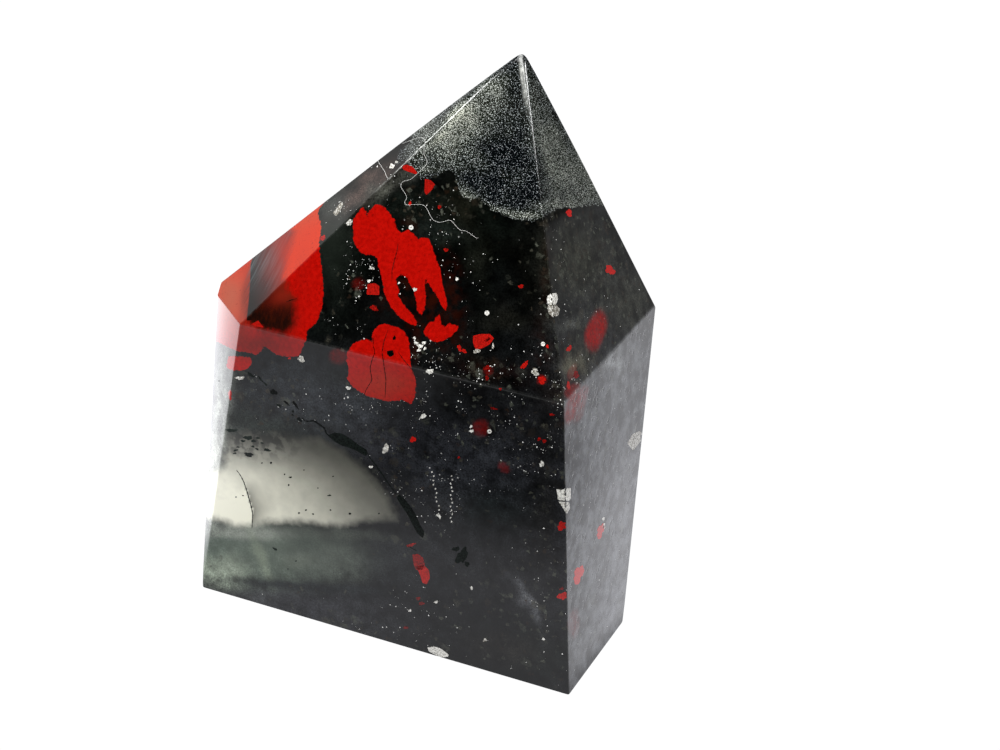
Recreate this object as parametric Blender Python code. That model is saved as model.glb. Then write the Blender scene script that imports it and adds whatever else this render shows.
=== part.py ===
# Bloodstone point: one polished, free-standing stone with a flat cut base and a faceted tip.
# Metres, +Z up. The origin is the bottom centre of the stone, and its wide front face looks along -Y.

from math import radians

import bmesh
import bpy
from mathutils import Vector
from mathutils.geometry import normal

MM = 0.001

# Driving dimensions of the whole stone, in millimetres
HEIGHT = 90.6            # from the base to the tip before it is rounded; about 90 once it is
SHOULDER = 47.6          # height where the side faces end and the crown facets begin
FRONT = -24.35           # how far in front of the origin the bottom edge of the front face lies
BACK = 24.35             # how far behind the origin the base reaches
ROUGH_SIZE = (85.0, 65.0, 105.0)    # sawn block that the stone is ground from
EDGE_SOFTNESS = 0.6      # width of the rounding that buffing leaves on every edge
EDGE_STEPS = 2           # flat strips in each rounded edge
SEAM = 0.5               # corners nearer to each other than this are one corner
FLATTEST_EDGE = 8.0      # degrees: an edge that turns less than this is not rounded

# Corners of the stone, in millimetres: the base ring, the shoulder ring and the tip
CORNERS = {
    "base front left": (-30.0, FRONT, 0.0),
    "base front right": (32.55, FRONT, 0.0),
    "base right": (34.6, -3.4, 0.0),
    "base back right": (15.0, 22.0, 0.0),
    "base back left": (-14.5, BACK, 0.0),
    "base left": (-34.5, 4.7, 0.0),
    "shoulder front left": (-24.85, -20.6, SHOULDER),
    "shoulder front right": (26.2, -20.6, SHOULDER),
    "shoulder right": (29.6, 13.8, 47.8),
    "shoulder back right": (25.6, 18.9, 45.0),
    "shoulder back left": (-12.5, 21.5, 46.3),
    "shoulder corner": (-32.0, -14.4, 47.9),
    "crown corner": (-33.5, -13.1, 48.0),
    "crown back left": (-4.3, 20.3, 57.9),
    "crown back right": (11.1, 19.0, 62.3),
    "tip": (9.2, 0.45, HEIGHT),
}

# Every facet is one flat grind through three corners
FACETS = {
    "base": ("base front left", "base front right", "base right"),
    "front": ("base front left", "base front right", "shoulder front left"),
    "right": ("base front right", "base right", "shoulder front right"),
    "back right": ("base right", "base back right", "shoulder right"),
    "back": ("base back right", "base back left", "shoulder back left"),
    "back left": ("base back left", "base left", "shoulder back left"),
    "left": ("base left", "base front left", "shoulder corner"),
    "front left sliver": ("base front left", "shoulder front left", "shoulder corner"),
    "crown front": ("shoulder front left", "shoulder front right", "tip"),
    "crown left": ("shoulder corner", "shoulder front left", "tip"),
    "crown right": ("shoulder front right", "shoulder right", "tip"),
    "crown back right": ("shoulder right", "shoulder back right", "tip"),
    "crown back": ("crown back right", "crown back left", "tip"),
    "crown back left": ("shoulder back left", "crown corner", "tip"),
}


def corner(name):
    return Vector(CORNERS[name]) * MM


def clear_scene():
    for thing in list(bpy.data.objects):
        bpy.data.objects.remove(thing, do_unlink=True)


def polished_bloodstone():
    # Dark green chalcedony under a glassy polish
    material = bpy.data.materials.new("polished_bloodstone")
    material.use_nodes = True
    shader = material.node_tree.nodes["Principled BSDF"]
    shader.inputs["Base Color"].default_value = (0.02, 0.035, 0.022, 1.0)
    shader.inputs["Metallic"].default_value = 0.0
    shader.inputs["Roughness"].default_value = 0.06
    shader.inputs["IOR"].default_value = 1.54
    return material


def rough_block():
    # The sawn block that the stone is ground from
    block = bmesh.new()
    bmesh.ops.create_cube(block, size=1.0)
    middle = Vector((0.0, 0.0, HEIGHT / 2)) * MM
    bmesh.ops.scale(block, vec=Vector(ROUGH_SIZE) * MM, verts=block.verts)
    bmesh.ops.translate(block, vec=middle, verts=block.verts)
    return block, middle


def grind_facet(block, middle, corners):
    # Takes away everything outside the plane through three corners and closes the cut
    first, second, third = (corner(name) for name in corners)
    outward = normal(first, second, third)
    if outward.dot(first - middle) < 0:
        outward.negate()
    cut = bmesh.ops.bisect_plane(block, geom=block.verts[:] + block.edges[:] + block.faces[:],
                                 plane_co=first, plane_no=outward, clear_outer=True)
    edges = [item for item in cut["geom_cut"] if isinstance(item, bmesh.types.BMEdge)]
    bmesh.ops.contextual_create(block, geom=edges)


def soften_edges(stone):
    bevel = stone.modifiers.new("softened_edges", "BEVEL")
    bevel.width = EDGE_SOFTNESS * MM
    bevel.segments = EDGE_STEPS
    bevel.limit_method = "ANGLE"
    bevel.angle_limit = radians(FLATTEST_EDGE)


def make_stone():
    block, middle = rough_block()
    for corners in FACETS.values():
        grind_facet(block, middle, corners)
    bmesh.ops.remove_doubles(block, verts=block.verts, dist=SEAM * MM)
    bmesh.ops.recalc_face_normals(block, faces=block.faces)
    mesh = bpy.data.meshes.new("stone")
    block.to_mesh(mesh)
    block.free()
    stone = bpy.data.objects.new("stone", mesh)
    stone.data.materials.append(polished_bloodstone())
    bpy.context.collection.objects.link(stone)
    soften_edges(stone)
    return stone


def main():
    clear_scene()
    make_stone()


main()
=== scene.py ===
# Looks of the bloodstone point: the polished stone's fine surface, its minerals, the studio and the camera.

import math

import bpy
import numpy as np
from mathutils import Matrix


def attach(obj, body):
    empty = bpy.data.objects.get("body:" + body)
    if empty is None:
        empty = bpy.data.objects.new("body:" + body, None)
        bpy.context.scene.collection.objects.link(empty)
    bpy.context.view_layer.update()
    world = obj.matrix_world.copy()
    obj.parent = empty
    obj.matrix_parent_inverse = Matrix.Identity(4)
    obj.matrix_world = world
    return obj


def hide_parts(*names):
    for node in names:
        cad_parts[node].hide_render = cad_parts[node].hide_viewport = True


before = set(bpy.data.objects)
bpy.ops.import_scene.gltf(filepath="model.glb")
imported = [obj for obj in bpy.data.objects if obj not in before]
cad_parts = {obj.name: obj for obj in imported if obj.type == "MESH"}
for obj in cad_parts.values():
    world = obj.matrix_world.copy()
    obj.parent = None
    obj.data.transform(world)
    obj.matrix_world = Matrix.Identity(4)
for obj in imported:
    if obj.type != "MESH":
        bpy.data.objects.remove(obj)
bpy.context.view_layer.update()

mm = 0.001  # all sizes below are in millimetres unless a note says otherwise


def hexToLinear(code):
    # sRGB hex to linear: v / 12.92 below 0.04045, otherwise ((v + 0.055) / 1.055) ^ 2.4
    srgb = [int(code[i:i + 2], 16) / 255 for i in (1, 3, 5)]
    return [v / 12.92 if v <= 0.04045 else ((v + 0.055) / 1.055) ** 2.4 for v in srgb] + [1.0]


def addNode(tree, kind, inputs=None, **settings):
    # Adds one node. inputs maps a socket's name or number to a value, an sRGB hex colour, a node whose first
    # working output it takes, or a (node, output) pair
    node = tree.nodes.new("ShaderNode" + kind)
    for name, value in settings.items():
        setattr(node, name, value)
    for socket, value in (inputs or {}).items():
        if isinstance(value, bpy.types.Node):
            value = (value, next(i for i, output in enumerate(value.outputs) if output.enabled))
        if isinstance(value, tuple):
            tree.links.new(value[0].outputs[value[1]], node.inputs[socket])
        else:
            node.inputs[socket].default_value = hexToLinear(value) if isinstance(value, str) else value
    return node


def addObject(name, data):
    # Puts a new mesh, camera or light into the scene
    thing = bpy.data.objects.new(name, data)
    bpy.context.scene.collection.objects.link(thing)
    return thing


def startMaterial(name, settings):
    # A Principled material; settings are the numbers and colours that are the same all over the surface
    material = bpy.data.materials.new(name)
    material.use_nodes = True
    shader = material.node_tree.nodes["Principled BSDF"]
    for socket, value in settings.items():
        shader.inputs[socket].default_value = hexToLinear(value) if isinstance(value, str) else value
    return material, material.node_tree, shader


def standing(right, up, back, place):
    # Matrix with the three axes and the place, in metres, as its columns
    turn = np.eye(4)
    turn[:3] = np.stack([right, up, back, np.array(place) * mm], axis=1)
    return turn


# Settings that many nodes share
times, plus, timesPlus = {"operation": "MULTIPLY"}, {"operation": "ADD"}, {"operation": "MULTIPLY_ADD"}
smooth, blend = {"interpolation_type": "SMOOTHSTEP"}, {"data_type": "RGBA"}


# Camera

photoCamera = {
    "frameWidth": 1000,             # pixels
    "frameHeight": 750,
    "focalPixels": 1800,            # about a 65 mm lens on a 36 mm sensor
    "sensorWidth": 36.0,
    "eye": (87.07, -230.68, 175.85),
    "bearing": 18.59,               # degrees the camera stands round to the stone's right
    "elevation": 29.63,             # degrees it looks down
    "roll": 4.34,                   # degrees it leans over
}


def cameraAxes():
    # Back = (sin b cos e, -cos b cos e, sin e); right and up are turned about it by the roll
    bearing, elevation, roll = (math.radians(photoCamera[key]) for key in ("bearing", "elevation", "roll"))
    back = np.array([math.sin(bearing) * math.cos(elevation),
                     -math.cos(bearing) * math.cos(elevation),
                     math.sin(elevation)])
    level = np.array([math.cos(bearing), math.sin(bearing), 0.0])
    upright = np.cross(back, level)
    right = math.cos(roll) * level + math.sin(roll) * upright
    up = math.cos(roll) * upright - math.sin(roll) * level
    return right, up, back


def photoPixels(points):
    # Perspective: x = 500 + f (q.right / depth), y = 375 - f (q.up / depth), with q measured from the eye
    right, up, back = cameraAxes()
    offset = points - np.array(photoCamera["eye"])
    depth = -(offset @ back)
    x = photoCamera["frameWidth"] / 2 + photoCamera["focalPixels"] * (offset @ right) / depth
    y = photoCamera["frameHeight"] / 2 - photoCamera["focalPixels"] * (offset @ up) / depth
    return np.stack([x, y], axis=-1), depth


def makeCamera():
    # Lens = sensor width * focal pixels / frame width
    data = bpy.data.cameras.new("photoCamera")
    data.sensor_width = photoCamera["sensorWidth"]
    data.lens = photoCamera["sensorWidth"] * photoCamera["focalPixels"] / photoCamera["frameWidth"]
    data.clip_start = 0.01
    camera = addObject("photoCamera", data)
    camera.matrix_world = Matrix(standing(*cameraAxes(), photoCamera["eye"]).tolist())
    bpy.context.scene.camera = camera
    print("camera ready")


# Stone surface

stoneShape = {
    "corners": {                    # millimetres: the solid's corners, a hair inside it at the base
        "base front left": (-30.0, -24.31, 0.0),
        "base front right": (32.5, -24.31, 0.0),
        "base right": (34.53, -3.4, 0.0),
        "base back right": (15.0, 22.0, 0.0),
        "base back left": (-14.5, 24.31, 0.0),
        "base left": (-34.43, 4.7, 0.0),
        "shoulder front left": (-24.85, -20.6, 47.6),
        "shoulder front right": (26.2, -20.6, 47.6),
        "shoulder right": (29.6, 13.8, 47.8),
        "shoulder back right": (25.6, 18.9, 45.0),
        "shoulder back left": (-12.5, 21.5, 46.3),
        "shoulder left": (-34.3, 1.2, 35.4),
        "shoulder corner": (-32.0, -14.4, 47.9),
        "crown corner": (-33.5, -13.1, 48.0),
        "crown edge start": (-32.3, -12.7, 49.2),
        "crown back left": (-4.3, 20.3, 57.9),
        "crown back right": (11.1, 19.0, 62.3),
        "tip": (9.2, 0.45, 90.6),
    },
    "facets": {                     # each one is flat through three corners
        "base": ("base front left", "base front right", "base right"),
        "front": ("base front left", "base front right", "shoulder front left"),
        "right": ("base front right", "base right", "shoulder front right"),
        "back right": ("base right", "base back right", "shoulder right"),
        "back": ("base back right", "base back left", "shoulder back left"),
        "back left": ("base back left", "base left", "shoulder back left"),
        "left": ("base left", "base front left", "shoulder corner"),
        "sliver": ("base front left", "shoulder front left", "shoulder corner"),
        "crown front": ("shoulder front left", "shoulder front right", "tip"),
        "crown left": ("tip", "shoulder front left", "shoulder corner"),
        "crown right": ("shoulder right", "shoulder front right", "tip"),
        "crown back right": ("shoulder right", "shoulder back right", "tip"),
        "crown back": ("crown back right", "crown back left", "tip"),
        "crown back left": ("shoulder back left", "crown corner", "tip"),
    },
    "dome": 0.13,                   # slope to which buffing has domed the sliver at its two long sides
    "edgeSoftness": (0.1, 0.03, 0.338),     # blending length of the edges, at the base, the body and the tip
    "softLevels": (3, 72, 88),      # heights where the base's softness ends and the tip's starts and is full
    "heart": (1.0, 0.0, 34.0),      # point inside the stone that the surface is measured from
    "ring": [                       # base corner, shoulder corner and columns up to the next pair
        ("base front left", "shoulder front left", 140),
        ("base front right", "shoulder front right", 66),
        ("base right", "shoulder right", 10),
        ("base back right", "shoulder back right", 10),
        ("base back middle right", "crown back right", 12),
        ("base back middle left", "crown back left", 12),
        ("base back left", "shoulder back left", 16),
        ("base left", "shoulder left", 9),
        ("base left middle", "crown edge start", 5),
        ("base front left", "shoulder corner", 26),
    ],
    "baseRows": 8,
    "bodyRows": (126, 48),          # rows and the millimetres that they span
    "crownRows": (154, 55),
    "crowding": (2.5, 0.7),         # how much denser the grid is at the edges, and over how many millimetres
}


def corner(name):
    # A named corner, or p = a (1 - s) + b s between two of them
    corners = stoneShape["corners"]
    between = {
        "base back middle right": ("base back right", "base back left", 1 / 3),
        "base back middle left": ("base back right", "base back left", 2 / 3),
        "base left middle": ("base left", "base front left", 0.6),
    }
    if name in between:
        start, end, share = between[name]
        return np.array(corners[start]) * (1 - share) + np.array(corners[end]) * share
    return np.array(corners[name], dtype=float)


def facetPlanes():
    # A facet is n.p = h through its corners, with n pointing away from the heart
    corners = np.array([[corner(name) for name in names] for names in stoneShape["facets"].values()])
    pivot = corners[:, 0]
    normals = np.cross(corners[:, 1] - pivot, corners[:, 2] - pivot)
    outwards = np.sign(((pivot - stoneShape["heart"]) * normals).sum(axis=1))
    normals *= (outwards / np.linalg.norm(normals, axis=1))[:, None]
    return normals, (normals * pivot).sum(axis=1)


def facetNumber(name):
    # Row of the facet in the arrays of facetPlanes
    return list(stoneShape["facets"]).index(name)


def domeSliver(points, outward):
    # Buffing has domed the narrow sliver a little. On it p = a + u (b - a) + v (c - a), and its normal
    # leans by dome (2 v / (u + v) - 1) along b to c
    normals, heights = facetPlanes()
    number = facetNumber("sliver")
    first, second, third = (corner(name) for name in stoneShape["facets"]["sliver"])
    sides = np.stack([second - first, third - first, normals[number]], axis=1)
    u, v, _ = np.linalg.solve(sides, (points - first).T)
    lean = stoneShape["dome"] * (2 * v / np.maximum(u + v, 0.02) - 1)
    onSliver = (points @ normals.T - heights).argmax(axis=1) == number
    leaning = outward + (onSliver * lean)[:, None] * (third - second) / np.linalg.norm(third - second)
    return leaning / np.linalg.norm(leaning, axis=1, keepdims=True)


def closerAtEnds(count, span):
    # Steps from 0 to 1 at the density 1 + c exp(-d / r), with d the millimetres to the nearer end
    extra, reach = stoneShape["crowding"]
    fine = np.linspace(0, 1, 2001)
    density = 1 + extra * np.exp(-np.minimum(fine, 1 - fine) * span / reach)
    total = np.concatenate([[0], np.cumsum((density[1:] + density[:-1]) / 2)])
    return np.interp(np.linspace(0, 1, count + 1), total / total[-1], fine)


def ringCurves():
    # Base ring and shoulder ring sampled at the same columns
    base, shoulder = [], []
    ring = stoneShape["ring"]
    for (low, high, columns), (nextLow, nextHigh, _) in zip(ring, ring[1:] + ring[:1]):
        span = np.linalg.norm(corner(nextHigh) - corner(high))
        t = closerAtEnds(columns, span)[:-1, None]
        base.append(corner(low) * (1 - t) + corner(nextLow) * t)
        shoulder.append(corner(high) * (1 - t) + corner(nextHigh) * t)
    return np.concatenate(base), np.concatenate(shoulder)


def roughGrid():
    # Rows: base centre to base rim, straight up to the shoulder, then straight to the tip
    base, shoulder = ringCurves()
    centre, tip = base.mean(axis=0), corner("tip")
    rows = [centre + (base - centre) * t for t in np.linspace(0, 1, stoneShape["baseRows"] + 1)[1:-1] ** 0.5]
    rows += [base + (shoulder - base) * t for t in closerAtEnds(*stoneShape["bodyRows"])]
    rows += [shoulder + (tip - shoulder) * t for t in closerAtEnds(*stoneShape["crownRows"])[1:-1]]
    return centre, np.array(rows), tip


def ontoSurface(points):
    # Along the line c + t d from the heart c, Newton steps find s ln(sum exp((n.(c + t d) - h) / s)) = 0.
    # Returns the point there and the outward normal, which is the same sum's gradient
    normals, heights = facetPlanes()
    heart = np.array(stoneShape["heart"])
    direction = points - heart
    slope = direction @ normals.T
    room = heights - normals @ heart
    t = np.min(np.where(slope > 1e-9, room / np.maximum(slope, 1e-9), np.inf), axis=-1)
    base, body, tip = stoneShape["edgeSoftness"]
    foot, neck, top = stoneShape["softLevels"]
    level = heart[2] + t * direction[..., 2]
    soft = body + (base - body) * np.clip(1 - level / foot, 0, 1)
    soft += (tip - body) * np.clip((level - neck) / (top - neck), 0, 1) ** 1.4
    for _ in range(12):
        excess = (t[..., None] * slope - room) / soft[..., None]
        peak = excess.max(axis=-1)
        weight = np.exp(excess - peak[..., None])
        total = weight.sum(axis=-1)
        t = t - soft * (peak + np.log(total)) * total / (weight * slope).sum(axis=-1)
    outward = weight @ normals
    outward /= np.linalg.norm(outward, axis=-1, keepdims=True)
    return heart + t[..., None] * direction, outward


def ringQuads(index):
    # Quads between neighbouring rows of vertex numbers, closed round the ring
    following = np.roll(index, -1, axis=1)
    return np.stack([index[:-1], following[:-1], following[1:], index[1:]], axis=-1).reshape(-1, 4).tolist()


def gridFaces(rows, columns, topPole=True):
    # Quads between the rows, and fans of triangles round the first vertex and, with topPole, round the last
    index = 1 + np.arange(rows * columns).reshape(rows, columns)
    following = np.roll(index, -1, axis=1)
    faces = np.stack([np.zeros(columns, int), following[0], index[0]], axis=-1).tolist() + ringQuads(index)
    if topPole:
        faces += np.stack([np.full(columns, rows * columns + 1), index[-1], following[-1]], axis=-1).tolist()
    return faces


# Reading the markings: outlines are in photo pixels and are thrown onto the stone along the camera's rays

def entry(ray):
    # Share t at which eye + t ray enters the stone: its farthest meeting with a face towards the camera
    normals, heights = facetPlanes()
    fall = ray @ normals.T
    room = heights - normals @ np.array(photoCamera["eye"])
    return np.where(fall < -1e-9, room / np.minimum(fall, -1e-9), -np.inf).max(axis=-1)


def depthBehind(points):
    # Distance from where the camera's ray enters the stone to the point: 0 on the faces the photo shows
    ray = points - np.array(photoCamera["eye"])
    return np.maximum(0, 1 - entry(ray)) * np.linalg.norm(ray, axis=-1)


def throwOntoStone(pixels):
    # The point where each pixel's ray, (x - 500) / f right - (y - 375) / f up - back, enters the stone
    right, up, back = cameraAxes()
    focal = photoCamera["focalPixels"]
    ray = ((pixels[..., :1] - photoCamera["frameWidth"] / 2) / focal * right
           - (pixels[..., 1:] - photoCamera["frameHeight"] / 2) / focal * up - back)
    return ontoSurface(np.array(photoCamera["eye"]) + entry(ray)[..., None] * ray)


def outlineDistance(pixels, outline):
    # Signed distance to a closed outline, positive inside: the nearest segment's, with the sign from an
    # even-odd count of crossings
    ends = np.array(outline, dtype=float)
    starts = np.roll(ends, 1, axis=0)
    nearest = np.full(len(pixels), np.inf)
    inside = np.zeros(len(pixels), bool)
    for start, end in zip(starts, ends):
        along, offset = end - start, pixels - start
        share = np.clip(offset @ along / (along @ along), 0, 1)
        nearest = np.minimum(nearest, np.linalg.norm(offset - share[:, None] * along, axis=1))
        if start[1] != end[1]:
            spans = (start[1] > pixels[:, 1]) != (end[1] > pixels[:, 1])
            crossing = start[0] + (pixels[:, 1] - start[1]) / (end[1] - start[1]) * along[0]
            inside ^= spans & (pixels[:, 0] < crossing)
    return np.where(inside, nearest, -nearest)


def softSpot(pixels, x, y, wide, high, turn=0.0, power=1.0):
    # Bell over an ellipse: exp(-(q ^ power)) with q the squared distance in half widths, turned clockwise
    angle = math.radians(turn)
    across = (pixels[:, 0] - x) * math.cos(angle) + (pixels[:, 1] - y) * math.sin(angle)
    down = (pixels[:, 1] - y) * math.cos(angle) - (pixels[:, 0] - x) * math.sin(angle)
    return np.exp(-((across / wide) ** 2 + (down / high) ** 2) ** power)


def ripple(points, size, seed=0):
    # Smooth irregular wave: mean of eight sines of p.k / size in spread directions, between about -1 and 1
    turn = np.arange(8) * 2.399963 + seed
    lift = np.linspace(-0.9, 0.9, 8)
    flat = np.sqrt(1 - lift ** 2)
    waves = np.stack([flat * np.cos(turn), flat * np.sin(turn), lift], axis=0)
    pace = np.linspace(0.7, 1.6, 8)
    return np.sin(math.tau * (points @ waves) * pace / size + turn * 3.7).mean(axis=-1) * 2.2


def lumpDistance(points, lumps):
    # Rough distance into the nearest ellipsoid: (1 - |q|) times its least radius, roughened by ripples
    depth = np.full(len(points), -9.0)
    for centre, radii in lumps:
        reach = np.linalg.norm((points - np.array(centre)) / np.array(radii), axis=1)
        depth = np.maximum(depth, (1 - reach) * min(radii))
    return depth + 0.9 * ripple(points, 9, 1) + 0.35 * ripple(points, 3.1, 2)


# Markings inside the stone

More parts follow.
